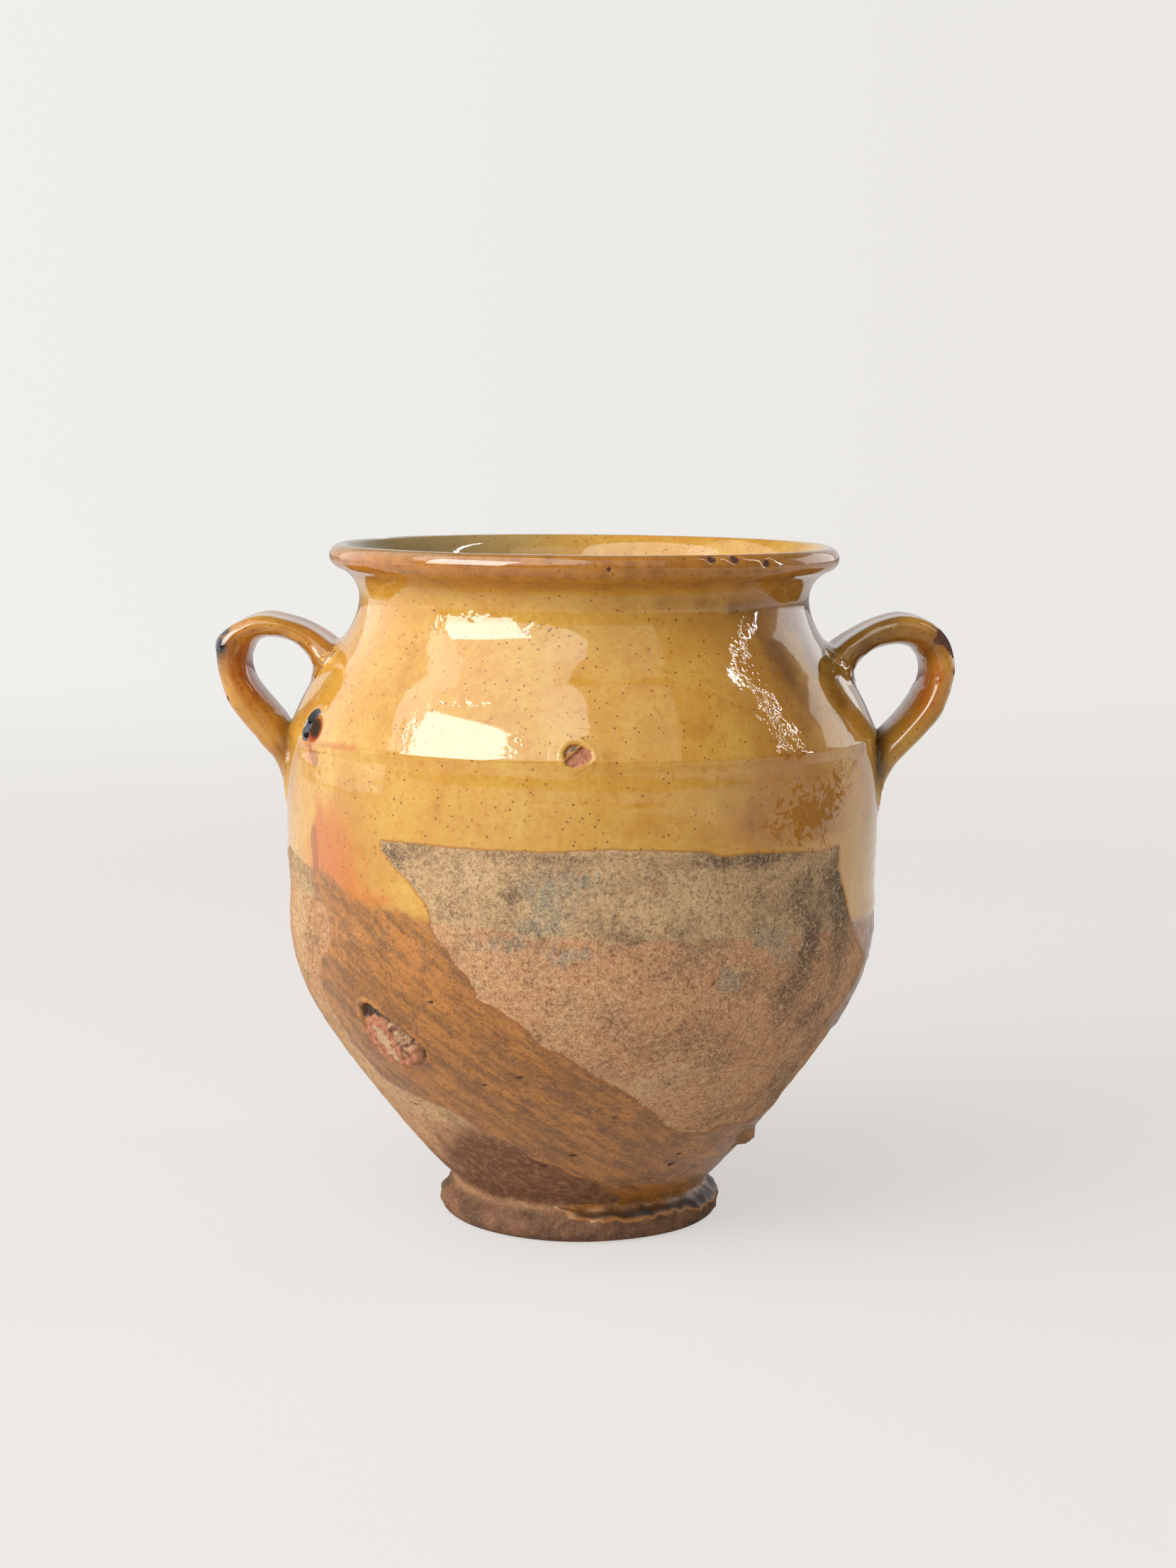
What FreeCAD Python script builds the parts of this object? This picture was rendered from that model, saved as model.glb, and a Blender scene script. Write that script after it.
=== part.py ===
"""Confit pot: a thrown earthenware storage pot with a collared rim and two pulled strap handles.

One fired piece. The pot stands on z = 0 with its axis on Z, and the handles lie along +X and -X.
"""
import FreeCAD
import Part
import math
import os
import Sketcher
from FreeCAD import Placement, Rotation, Vector

NODE = "confit_pot"

# Driving dimensions in millimetres
SIZES = {
    "pot_height": 250.0,
    "wall": 6.5,
    "floor_thickness": 11.0,
    "bowl_round": 30.0,
    "waist_radius": 47.2,
    "waist_round": 3.0,
    "foot_flange": 5.7,
    "foot_round": 4.9,
    "foot_sit": 0.8,
    "flank_round": 430.0,
    "hip_radius": 108.9,
    "hip_height": 114.2,
    "hip_round": 67.7,
    "band_radius": 108.5,
    "band_rise": 10.8,
    "wall_round": 280.0,
    "ridge_radius": 108.0,
    "shoulder_rise": 46.0,
    "shoulder_round": 90.0,
    "neck_radius": 83.0,
    "neck_round": 22.0,
    "collar_height": 21.0,
    "collar_round": 3.0,
    "rim_overhang": 10.6,
    "rim_round": 4.4,
    "strap_width": 35.0,
    "strap_thickness": 12.4,
    "channel_depth": 1.3,
    "arch_round": 14.6,
    "root_rise": 20.0,
    "root_sink": 8.2,
    "landing_drop": 18.5,
    "landing_sink": 2.2,
    "tip_drop": 33.5,
    "tip_sink": 3.6,
    "left_stand": 28.3,
    "left_rise": 42.9,
    "right_stand": 29.3,
    "right_rise": 44.1,
    "chip_width": 9.4,
    "chip_length": 6.6,
    "chip_depth": 1.5,
    "chip_rise": 1.1,
    "pit_width": 9.0,
    "pit_length": 10.6,
    "pit_depth": 3.2,
    "pit_rise": 3.5,
    "scar_width": 10.0,
    "scar_length": 30.0,
    "scar_depth": 2.0,
    "scar_drop": 30.0,
    "weld_width": 6.6,
    "weld_length": 23.0,
    "weld_proud": 1.6,
    "weld_drop": 32.0,
    "drip_width": 12.0,
    "drip_length": 7.0,
    "drip_proud": 2.0,
    "drip_rise": 26.0,
}


def crossing(name, first, second, side):
    """Formulas for one crossing of two circles, each given by its centre's place and its radius.

    Side +1 takes the crossing left of the line from the first centre to the second.
    """
    (ax, az, ar), (bx, bz, br) = first, second
    gap = name + "_gap"
    along = name + "_along"
    off = name + "_off"
    return {
        gap: "sqrt((%s - %s) ^ 2 + (%s - %s) ^ 2)" % (bx, ax, bz, az),
        along: "(%s ^ 2 + (%s) ^ 2 - (%s) ^ 2) / (2 * %s)" % (gap, ar, br, gap),
        off: "%d * sqrt((%s) ^ 2 - %s ^ 2)" % (side, ar, along),
        name + "_across": "%s + (%s * (%s - %s) - %s * (%s - %s)) / %s" % (ax, along, bx, ax, off, bz, az, gap),
        name + "_up": "%s + (%s * (%s - %s) + %s * (%s - %s)) / %s" % (az, along, bz, az, off, bx, ax, gap),
    }


def on_arc(arc, height):
    """Formula for the reach from the axis to an arc of the outside at a height."""
    return "%s_across + sqrt(%s_round ^ 2 - (%s - %s_up) ^ 2)" % (arc, arc, height, arc)


# Sizes that follow from the driving ones, as formulas of the sheet
DERIVED = {
    "foot_centre": "waist_radius + foot_flange - foot_round",
    "foot_edge_height": "foot_round - foot_sit",
    "waist_centre": "waist_radius + waist_round",
    "waist_height": "foot_edge_height + sqrt((foot_round + waist_round) ^ 2 - (waist_centre - foot_centre) ^ 2)",
    "hip_across": "hip_radius - hip_round",
    "hip_up": "hip_height",
    "band_height": "hip_height + band_rise",
    "neck_height": "pot_height - collar_height",
    "ridge_height": "neck_height - shoulder_rise",
    "neck_centre": "neck_radius + neck_round",
    "rim_centre": "neck_radius + rim_overhang - rim_round",
    "rim_level": "pot_height - rim_round",
    "mouth_radius": "neck_radius - wall",
    **crossing(
        "flank",
        ("waist_centre", "waist_height", "flank_round + waist_round"),
        ("hip_across", "hip_up", "flank_round - hip_round"),
        1,
    ),
    **crossing(
        "wall",
        ("band_radius", "band_height", "wall_round"),
        ("ridge_radius", "ridge_height", "wall_round"),
        1,
    ),
    **crossing(
        "shoulder",
        ("ridge_radius", "ridge_height", "shoulder_round"),
        ("neck_centre", "neck_height", "shoulder_round + neck_round"),
        1,
    ),
    "inner_band_radius": "wall_across + (band_radius - wall_across) * (wall_round - wall) / wall_round",
    "inner_band_height": "wall_up + (band_height - wall_up) * (wall_round - wall) / wall_round",
    "root_height": "ridge_height + root_rise",
    "root_reach": on_arc("shoulder", "root_height") + " - root_sink",
    "landing_height": "ridge_height - landing_drop",
    "landing_reach": on_arc("wall", "landing_height") + " - landing_sink",
    "tip_height": "ridge_height - tip_drop",
    "tip_reach": on_arc("wall", "tip_height") + " - tip_sink",
    "left_centre": "ridge_radius + left_stand - strap_thickness / 2 - arch_round",
    "left_level": "ridge_height + left_rise - strap_thickness / 2 - arch_round",
    "right_centre": "ridge_radius + right_stand - strap_thickness / 2 - arch_round",
    "right_level": "ridge_height + right_rise - strap_thickness / 2 - arch_round",
    "chip_height": "ridge_height + chip_rise",
    "chip_reach": on_arc("shoulder", "chip_height"),
    "pit_height": "ridge_height + pit_rise",
    "pit_reach": on_arc("shoulder", "pit_height"),
    "scar_height": "hip_height - scar_drop",
    "scar_reach": on_arc("hip", "scar_height"),
    "weld_height": "hip_height - weld_drop",
    "weld_reach": on_arc("hip", "weld_height") + " - weld_proud",
    "drip_height": "waist_height + drip_rise",
    "drip_reach": on_arc("flank", "drip_height") + " - drip_proud",
}

START = 1
END = 2
CENTRE = 3
ORIGIN = (-1, START)


def add_sheet(doc):
    """The sheet of sizes: driving ones as plain numbers, derived ones as formulas."""
    sheet = doc.addObject("Spreadsheet::Sheet", "sizes")
    rows = [(name, repr(value)) for name, value in SIZES.items()]
    rows += [(name, "=" + formula) for name, formula in DERIVED.items()]
    for row, (name, content) in enumerate(rows, start=1):
        sheet.set("A%d" % row, name)
        sheet.set("B%d" % row, content)
        sheet.setAlias("B%d" % row, name)
    doc.recompute()
    return sheet


class Values:
    """The sheet's values, by name."""

    def __init__(self, sheet):
        for name in list(SIZES) + list(DERIVED):
            setattr(self, name, float(getattr(sheet, name)))


def origin_plane(body, role):
    """The body's own origin plane with this role."""
    for feature in body.Origin.OriginFeatures:
        if feature.Role == role:
            return feature
    raise ValueError("no origin plane " + role)


def toward(start, target, distance):
    """The point at this distance from start on the way to target."""
    share = distance / math.dist(start, target)
    return (start[0] + share * (target[0] - start[0]), start[1] + share * (target[1] - start[1]))


def meet(first, first_radius, second, second_radius, near):
    """The crossing of two circles that lies nearer to a point."""
    apart = math.dist(first, second)
    along = (apart ** 2 + first_radius ** 2 - second_radius ** 2) / (2 * apart)
    off = math.sqrt(first_radius ** 2 - along ** 2)
    ux = (second[0] - first[0]) / apart
    uz = (second[1] - first[1]) / apart
    foot = (first[0] + along * ux, first[1] + along * uz)
    both = [(foot[0] - side * off * uz, foot[1] + side * off * ux) for side in (1, -1)]
    return min(both, key=lambda point: math.dist(point, near))


class Outline:
    """A sketch of lines and arcs laid end to end, with each size bound to the sheet."""

    def __init__(self, body, name, role):
        self.sketch = body.newObject("Sketcher::SketchObject", name)
        self.sketch.AttachmentSupport = [(origin_plane(body, role), "")]
        self.sketch.MapMode = "FlatFace"

    def line(self, start, end):
        """A straight edge between two points."""
        return self.sketch.addGeometry(Part.LineSegment(Vector(*start, 0), Vector(*end, 0)))

    def arc(self, centre, start, end, turn):
        """An arc about centre from start to end, anticlockwise for turn +1."""
        radius = math.dist(centre, start)
        first = math.atan2(start[1] - centre[1], start[0] - centre[0])
        last = math.atan2(end[1] - centre[1], end[0] - centre[0])
        if turn < 0:
            first, last = last, first
        if last <= first:
            last += 2 * math.pi
        circle = Part.Circle(Vector(*centre, 0), Vector(0, 0, 1), radius)
        return self.sketch.addGeometry(Part.ArcOfCircle(circle, first, last))

    def constrain(self, kind, *places):
        """A constraint without a size."""
        self.sketch.addConstraint(Sketcher.Constraint(kind, *places))

    def size(self, kind, places, value, formula):
        """A constraint whose size follows a formula of the sheet."""
        index = self.sketch.addConstraint(Sketcher.Constraint(kind, *places, value))
        self.sketch.setExpression("Constraints[%d]" % index, formula)

    def across(self, geometry, place, value, formula):
        """Distance of a point from the upright axis."""
        self.size("DistanceX", (*ORIGIN, geometry, place), value, formula)

    def up(self, geometry, place, value, formula):
        """Height of a point."""
        self.size("DistanceY", (*ORIGIN, geometry, place), value, formula)

    def place(self, geometry, place, point, across, up):
        """Both distances of a point, each bound to a formula."""
        self.across(geometry, place, point[0], across)
        self.up(geometry, place, point[1], up)

    def radius(self, geometry, formula):
        """Radius of an arc."""
        self.size("Radius", (geometry,), self.sketch.Geometry[geometry].Radius, formula)


def outer_geometry(s):
    """Centres and joints of the outer profile's arcs, so that its sketch starts solved."""
    g = {}
    g["foot"] = (s.foot_centre, s.foot_edge_height)
    g["waist"] = (s.waist_centre, s.waist_height)
    g["flank"] = (s.flank_across, s.flank_up)
    g["hip"] = (s.hip_across, s.hip_up)
    g["hip_end"] = (s.hip_radius, s.hip_height)
    g["band_end"] = (s.band_radius, s.band_height)
    g["wall"] = (s.wall_across, s.wall_up)
    g["ridge"] = (s.ridge_radius, s.ridge_height)
    g["shoulder"] = (s.shoulder_across, s.shoulder_up)
    g["neck"] = (s.neck_centre, s.neck_height)
    g["rim"] = (s.rim_centre, s.rim_level)
    under_rim = (s.rim_centre, s.neck_height)
    g["collar"] = meet(g["neck"], s.neck_round - s.collar_round, g["rim"], s.rim_round + s.collar_round, under_rim)
    g["base_end"] = (s.foot_centre + math.sqrt(s.foot_round ** 2 - s.foot_edge_height ** 2), 0.0)
    g["foot_end"] = toward(g["foot"], g["waist"], s.foot_round)
    g["waist_end"] = toward(g["waist"], g["flank"], s.waist_round)
    g["flank_end"] = toward(g["flank"], g["hip"], s.flank_round)
    g["shoulder_end"] = toward(g["neck"], g["shoulder"], s.neck_round)
    g["neck_end"] = toward(g["neck"], g["collar"], s.neck_round)
    g["collar_end"] = toward(g["rim"], g["collar"], s.rim_round)
    g["rim_top"] = (s.rim_centre, s.pot_height)
    return g


def add_outer(body, s):
    """The pot's outside, turned as a solid: foot, waist, flank, hip, wall, shoulder, neck, collar."""
    g = outer_geometry(s)
    o = Outline(body, "outer_profile", "XZ_Plane")
    base = o.line((0.0, 0.0), g["base_end"])
    foot = o.arc(g["foot"], g["base_end"], g["foot_end"], 1)
    waist = o.arc(g["waist"], g["foot_end"], g["waist_end"], -1)
    flank = o.arc(g["flank"], g["waist_end"], g["flank_end"], 1)
    hip = o.arc(g["hip"], g["flank_end"], g["hip_end"], 1)
    band = o.line(g["hip_end"], g["band_end"])
    wall = o.arc(g["wall"], g["band_end"], g["ridge"], 1)
    shoulder = o.arc(g["shoulder"], g["ridge"], g["shoulder_end"], 1)
    neck = o.arc(g["neck"], g["shoulder_end"], g["neck_end"], -1)
    collar = o.arc(g["collar"], g["neck_end"], g["collar_end"], -1)
    rim = o.arc(g["rim"], g["collar_end"], g["rim_top"], 1)
    top = o.line(g["rim_top"], (0.0, s.pot_height))
    axis = o.line((0.0, s.pot_height), (0.0, 0.0))

    o.constrain("Coincident", base, START, *ORIGIN)
    o.constrain("Horizontal", base)
    o.constrain("Coincident", base, END, foot, START)
    o.constrain("Tangent", foot, END, waist, END)
    o.constrain("Tangent", waist, START, flank, START)
    o.constrain("Tangent", flank, END, hip, START)
    o.constrain("Coincident", hip, END, band, START)
    o.constrain("Coincident", band, END, wall, START)
    o.constrain("Coincident", wall, END, shoulder, START)
    o.constrain("Tangent", shoulder, END, neck, END)
    o.constrain("Tangent", neck, START, collar, END)
    o.constrain("Tangent", collar, START, rim, START)
    o.constrain("Coincident", rim, END, top, START)
    o.constrain("Coincident", top, END, axis, START)
    o.constrain("Coincident", axis, END, *ORIGIN)
    o.constrain("Vertical", axis)
    o.constrain("Horizontal", top)

    o.place(foot, CENTRE, g["foot"], "sizes.foot_centre", "sizes.foot_edge_height")
    o.radius(foot, "sizes.foot_round")
    o.across(waist, CENTRE, g["waist"][0], "sizes.waist_centre")
    o.radius(waist, "sizes.waist_round")
    o.radius(flank, "sizes.flank_round")
    o.place(hip, CENTRE, g["hip"], "sizes.hip_across", "sizes.hip_up")
    o.radius(hip, "sizes.hip_round")
    o.up(hip, END, s.hip_height, "sizes.hip_height")
    o.place(band, END, g["band_end"], "sizes.band_radius", "sizes.band_height")
    o.place(wall, END, g["ridge"], "sizes.ridge_radius", "sizes.ridge_height")
    o.radius(wall, "sizes.wall_round")
    o.radius(shoulder, "sizes.shoulder_round")
    o.place(neck, CENTRE, g["neck"], "sizes.neck_centre", "sizes.neck_height")
    o.radius(neck, "sizes.neck_round")
    o.radius(collar, "sizes.collar_round")
    o.place(rim, CENTRE, g["rim"], "sizes.rim_centre", "sizes.rim_level")
    o.radius(rim, "sizes.rim_round")
    o.across(rim, END, s.rim_centre, "sizes.rim_centre")

    turned = body.newObject("PartDesign::Revolution", "turned_form")
    turned.Profile = o.sketch
    turned.ReferenceAxis = (o.sketch, ["V_Axis"])
    turned.Angle = 360


def cavity_geometry(s):
    """Centres and joints of the cavity profile, one wall thickness inside the outer one."""
    g = outer_geometry(s)
    flank_radius = s.flank_round - s.wall
    bowl_level = s.floor_thickness + s.bowl_round
    reach = math.sqrt((flank_radius - s.bowl_round) ** 2 - (bowl_level - g["flank"][1]) ** 2)
    g["bowl"] = (g["flank"][0] + reach, bowl_level)
    g["floor_end"] = (g["bowl"][0], s.floor_thickness)
    g["bowl_end"] = toward(g["flank"], g["bowl"], flank_radius)
    g["flank_end"] = toward(g["flank"], g["hip"], flank_radius)
    g["hip_end"] = (s.hip_radius - s.wall, s.hip_height)
    g["band_end"] = (s.inner_band_radius, s.inner_band_height)
    g["wall_end"] = meet(g["wall"], s.wall_round - s.wall, g["shoulder"], s.shoulder_round - s.wall, g["ridge"])
    g["shoulder_end"] = toward(g["neck"], g["shoulder"], s.neck_round + s.wall)
    g["throat"] = (s.mouth_radius, s.neck_height)
    outward = s.rim_centre - s.mouth_radius
    upward = s.rim_level - s.neck_height
    flare_radius = (outward ** 2 + upward ** 2 - s.rim_round ** 2) / (2 * (outward - s.rim_round))
    g["flare"] = (s.mouth_radius + flare_radius, s.neck_height)
    g["flare_end"] = toward(g["flare"], g["rim"], flare_radius)
    return g


def add_cavity(body, s):
    """The pot's inside, turned out of the solid: floor, bowl, flank, wall, shoulder, throat, lip."""
    g = cavity_geometry(s)
    above = s.pot_height + s.rim_round
    o = Outline(body, "cavity_profile", "XZ_Plane")
    floor = o.line((0.0, s.floor_thickness), g["floor_end"])
    bowl = o.arc(g["bowl"], g["floor_end"], g["bowl_end"], 1)
    flank = o.arc(g["flank"], g["bowl_end"], g["flank_end"], 1)
    hip = o.arc(g["hip"], g["flank_end"], g["hip_end"], 1)
    band = o.line(g["hip_end"], g["band_end"])
    wall = o.arc(g["wall"], g["band_end"], g["wall_end"], 1)
    shoulder = o.arc(g["shoulder"], g["wall_end"], g["shoulder_end"], 1)
    throat = o.arc(g["neck"], g["shoulder_end"], g["throat"], -1)
    flare = o.arc(g["flare"], g["throat"], g["flare_end"], -1)
    lip = o.arc(g["rim"], g["flare_end"], g["rim_top"], -1)
    rise = o.line(g["rim_top"], (s.rim_centre, above))
    top = o.line((s.rim_centre, above), (0.0, above))
    axis = o.line((0.0, above), (0.0, s.floor_thickness))

    o.constrain("Horizontal", floor)
    o.constrain("Coincident", axis, END, floor, START)
    o.constrain("PointOnObject", axis, END, -2)
    o.constrain("Vertical", axis)
    o.constrain("Tangent", floor, END, bowl, START)
    o.constrain("Tangent", bowl, END, flank, START)
    o.constrain("Tangent", flank, END, hip, START)
    o.constrain("Coincident", hip, END, band, START)
    o.constrain("Coincident", band, END, wall, START)
    o.constrain("Coincident", wall, END, shoulder, START)
    o.constrain("Tangent", shoulder, END, throat, END)
    o.constrain("Coincident", throat, START, flare, END)
    o.constrain("Tangent", flare, START, lip, END)
    o.constrain("Coincident", lip, START, rise, START)
    o.constrain("Vertical", rise)
    o.constrain("Coincident", rise, END, top, START)
    o.constrain("Horizontal", top)
    o.constrain("Coincident", top, END, axis, START)

    o.up(floor, START, s.floor_thickness, "sizes.floor_thickness")
    o.radius(bowl, "sizes.bowl_round")
    o.place(flank, CENTRE, g["flank"], "sizes.flank_across", "sizes.flank_up")
    o.radius(flank, "sizes.flank_round - sizes.wall")
    o.place(hip, CENTRE, g["hip"], "sizes.hip_across", "sizes.hip_up")
    o.up(hip, END, s.hip_height, "sizes.hip_height")
    o.up(band, END, s.inner_band_height, "sizes.inner_band_height")
    o.place(wall, CENTRE, g["wall"], "sizes.wall_across", "sizes.wall_up")
    o.radius(wall, "sizes.wall_round - sizes.wall")
    o.place(shoulder, CENTRE, g["shoulder"], "sizes.shoulder_across", "sizes.shoulder_up")
    o.radius(shoulder, "sizes.shoulder_round - sizes.wall")
    o.place(throat, CENTRE, g["neck"], "sizes.neck_centre", "sizes.neck_height")
    o.up(throat, START, s.neck_height, "sizes.neck_height")
    o.up(flare, CENTRE, s.neck_height, "sizes.neck_height")
    o.place(lip, CENTRE, g["rim"], "sizes.rim_centre", "sizes.rim_level")
    o.radius(lip, "sizes.rim_round")
    o.across(lip, START, s.rim_centre, "sizes.rim_centre")
    o.up(top, END, above, "sizes.pot_height + sizes.rim_round")

    hollow = body.newObject("PartDesign::Groove", "hollow")
    hollow.Profile = o.sketch
    hollow.ReferenceAxis = (o.sketch, ["V_Axis"])
    hollow.Angle = 360


# Stations of a strap from its root on the shoulder, over the arch, to its landing on the wall:
# place, outward angle in degrees, share of the strap's width, share of its thickness
ARCH_END = -35.0
STATIONS = (
    ("root", 125.0, 1.20, 1.20),
    ("arch", 125.0, 1.04, 1.03),
    ("arch", 88.0, 1.00, 1.00),
    ("arch", 48.0, 1.00, 1.00),
    ("arch", 8.0, 1.00, 1.00),
    ("arch", ARCH_END, 1.00, 1.00),
    ("leg", -34.0, 1.02, 1.00),
    ("landing", -18.0, 1.10, 0.80),
    ("tip", -2.0, 1.00, 0.30),
)
LEG_SHARE = 0.5

# Shares of half the width and half the thickness at the strap section's corners
RIB_ACROSS = 0.80
SHOULDER_ACROSS = 0.66
SHOULDER_DEPTH = 0.86
EDGE_LEVEL = 0.10


def station_place(place, angle, side):
    """Formulas for a station's reach from the axis and its height."""
    if place in ("root", "landing", "tip"):
        return "sizes.%s_reach" % place, "sizes.%s_height" % place
    if place == "arch":
        return (
            "sizes.%s_centre + sizes.arch_round * cos(%s deg)" % (side, angle),
            "sizes.%s_level + sizes.arch_round * sin(%s deg)" % (side, angle),
        )
    above = station_place("arch", ARCH_END, side)
    below = station_place("landing", angle, side)
    return tuple(
        "(1 - %s) * (%s) + %s * (%s)" % (LEG_SHARE, first, LEG_SHARE, last)
        for first, last in zip(above, below)
    )


def bow(outline, first, through, last):
    """An arc through three points. Returns its index and which of its ends lie at first and last."""
    (ax, ay), (bx, by), (cx, cy) = first, through, last
    turn = (bx - ax) * (cy - ay) - (by - ay) * (cx - ax)
    a2 = ax ** 2 + ay ** 2
    b2 = bx ** 2 + by ** 2
    c2 = cx ** 2 + cy ** 2
    across = (a2 * (by - cy) + b2 * (cy - ay) + c2 * (ay - by)) / (2 * turn)
    up = (a2 * (cx - bx) + b2 * (ax - cx) + c2 * (bx - ax)) / (2 * turn)
    index = outline.arc((across, up), first, last, 1 if turn > 0 else -1)
    return (index, START, END) if turn > 0 else (index, END, START)


def add_station(body, s, side, number, station):
    """One section of the strap: a round inner face, round edges and a channelled outer face."""
    place, angle, width_share, thickness_share = station
    o = Outline(body, "%s_section_%d" % (side, number), "YZ_Plane")
    reach, height = station_place(place, angle, side)
    sign = 1 if side == "right" else -1
    tilt = sign * (90.0 - angle)
    o.sketch.AttachmentOffset = Placement(Vector(0, 0, 0), Rotation(Vector(1, 0, 0), tilt))
    o.sketch.setExpression(".AttachmentOffset.Base.y", height)
    o.sketch.setExpression(".AttachmentOffset.Base.z", "%d * (%s)" % (sign, reach))

    half_width = "%s * sizes.strap_width / 2" % width_share
    half_depth = "%s * sizes.strap_thickness / 2" % thickness_share
    a = width_share * s.strap_width / 2
    b = thickness_share * s.strap_thickness / 2

    def corner(across, depth):
        """A corner's place and its two formulas, from shares of the half width and half depth."""
        return (across * a, depth * b), "%s * %s" % (across, half_width), "%s * %s" % (depth, half_depth)

    corners = (
        corner(RIB_ACROSS, 1.0),
        corner(-RIB_ACROSS, 1.0),
        corner(-SHOULDER_ACROSS, -SHOULDER_DEPTH),
        corner(SHOULDER_ACROSS, -SHOULDER_DEPTH),
    )
    bed = b - thickness_share * s.channel_depth
    bed_formula = "%s - %s * sizes.channel_depth" % (half_depth, thickness_share)
    bows = (
        ((0.0, bed), None, bed_formula),
        corner(-1.0, EDGE_LEVEL),
        ((0.0, -b), None, "-" + half_depth),
        corner(1.0, EDGE_LEVEL),
    )
    pieces = []
    for index, (first, through) in enumerate(zip(corners, bows)):
        last = corners[(index + 1) % len(corners)]
        pieces.append(bow(o, first[0], through[0], last[0]))
    for index, (arc, head, tail) in enumerate(pieces):
        after, after_head, _ = pieces[(index + 1) % len(pieces)]
        o.constrain("Coincident", arc, tail, after, after_head)
        point, across_formula, up_formula = corners[index]
        o.place(arc, head, point, across_formula, up_formula)
        point, across_formula, up_formula = bows[index]
        mark = o.sketch.addGeometry(Part.Point(Vector(*point, 0)), True)
        if across_formula is None:
            o.constrain("PointOnObject", mark, START, -2)
        else:
            o.across(mark, START, point[0], across_formula)
        o.up(mark, START, point[1], up_formula)
        o.constrain("PointOnObject", mark, START, arc)
    return o.sketch


def add_strap(body, s, side):
    """A strap handle, drawn through its sections."""
    sections = [add_station(body, s, side, number, station) for number, station in enumerate(STATIONS)]
    body.Document.recompute()
    strap = body.newObject("PartDesign::AdditiveLoft", "%s_strap" % side)
    strap.Profile = sections[0]
    strap.Sections = sections[1:]
    strap.Ruled = False
    strap.Closed = False


# Marks of the firing and of use: name, sizes it takes, kind, angle round the pot from the front in
# degrees (positive to the right), how far the wall there leans under, turn on the wall, cut or raised
MARKS = (
    ("ridge_chip", "chip", -0.6, 0.0, 12.0, "Subtractive"),
    ("handle_pit", "pit", -61.5, 0.0, -15.0, "Subtractive"),
    ("flank_scar", "scar", -39.0, 27.0, 52.0, "Subtractive"),
    ("scar_weld", "weld", -38.2, 27.0, 52.0, "Additive"),
    ("glaze_drip", "drip", 54.0, 38.0, 10.0, "Additive"),
)


def add_mark(body, name, sizes, angle, lean, turn, kind):
    """A lens on the wall: a hollow where something broke away, or a lump that stayed.

    Its thin axis stands square to the wall, and its length runs up the wall before it is turned.
    """
    lens = body.newObject("PartDesign::%sEllipsoid" % kind, name)
    lens.AttachmentSupport = [(origin_plane(body, "XY_Plane"), "")]
    lens.MapMode = "FlatFace"
    outward = Rotation(Vector(0, 0, 1), angle).multiply(Rotation(Vector(1, 0, 0), 90.0 + lean))
    lens.AttachmentOffset = Placement(Vector(0, 0, 0), outward.multiply(Rotation(Vector(0, 0, 1), turn)))
    lens.setExpression(".AttachmentOffset.Base.x", "sizes.%s_reach * sin(%s deg)" % (sizes, angle))
    lens.setExpression(".AttachmentOffset.Base.y", "-sizes.%s_reach * cos(%s deg)" % (sizes, angle))
    lens.setExpression(".AttachmentOffset.Base.z", "sizes.%s_height" % sizes)
    half_depth = "sizes.%s_depth" % sizes if kind == "Subtractive" else "2 * sizes.%s_proud" % sizes
    lens.setExpression("Radius1", half_depth)
    lens.setExpression("Radius2", "sizes.%s_width / 2" % sizes)
    lens.setExpression("Radius3", "sizes.%s_length / 2" % sizes)


def check(doc):
    """Stops if any object of the document is in error."""
    for item in doc.Objects:
        bad = [word for word in item.State if word in ("Invalid", "Error")]
        if bad:
            raise RuntimeError("%s is %s" % (item.Name, " ".join(bad)))


def check_shape(item):
    """Stops if a sub-part has no valid single solid."""
    shape = item.Shape
    if shape.isNull() or not shape.isValid() or len(shape.Solids) != 1:
        raise RuntimeError("%s has no sound shape" % item.Label)


def main():
    """Builds the pot and writes its file."""
    os.makedirs("parts", exist_ok=True)
    doc = FreeCAD.newDocument("confit_pot_model")
    s = Values(add_sheet(doc))
    body = doc.addObject("PartDesign::Body", NODE)
    body.Label = NODE
    add_outer(body, s)
    doc.recompute()
    for side in ("left", "right"):
        add_strap(body, s, side)
        doc.recompute()
    add_cavity(body, s)
    doc.recompute()
    for mark in MARKS:
        add_mark(body, *mark)
        doc.recompute()
    body.Placement = Placement(Vector(0, 0, 0), Rotation(Vector(0, 0, 1), 0))
    doc.recompute()
    check(doc)
    check_shape(body)
    body.Shape.exportStep("parts/%s.step" % body.Label)
    box = body.Shape.BoundBox
    print("%s volume %.0f mm3" % (body.Label, body.Shape.Volume))
    print("box x %.2f %.2f y %.2f %.2f z %.2f %.2f" % (box.XMin, box.XMax, box.YMin, box.YMax, box.ZMin, box.ZMax))


main()
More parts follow.
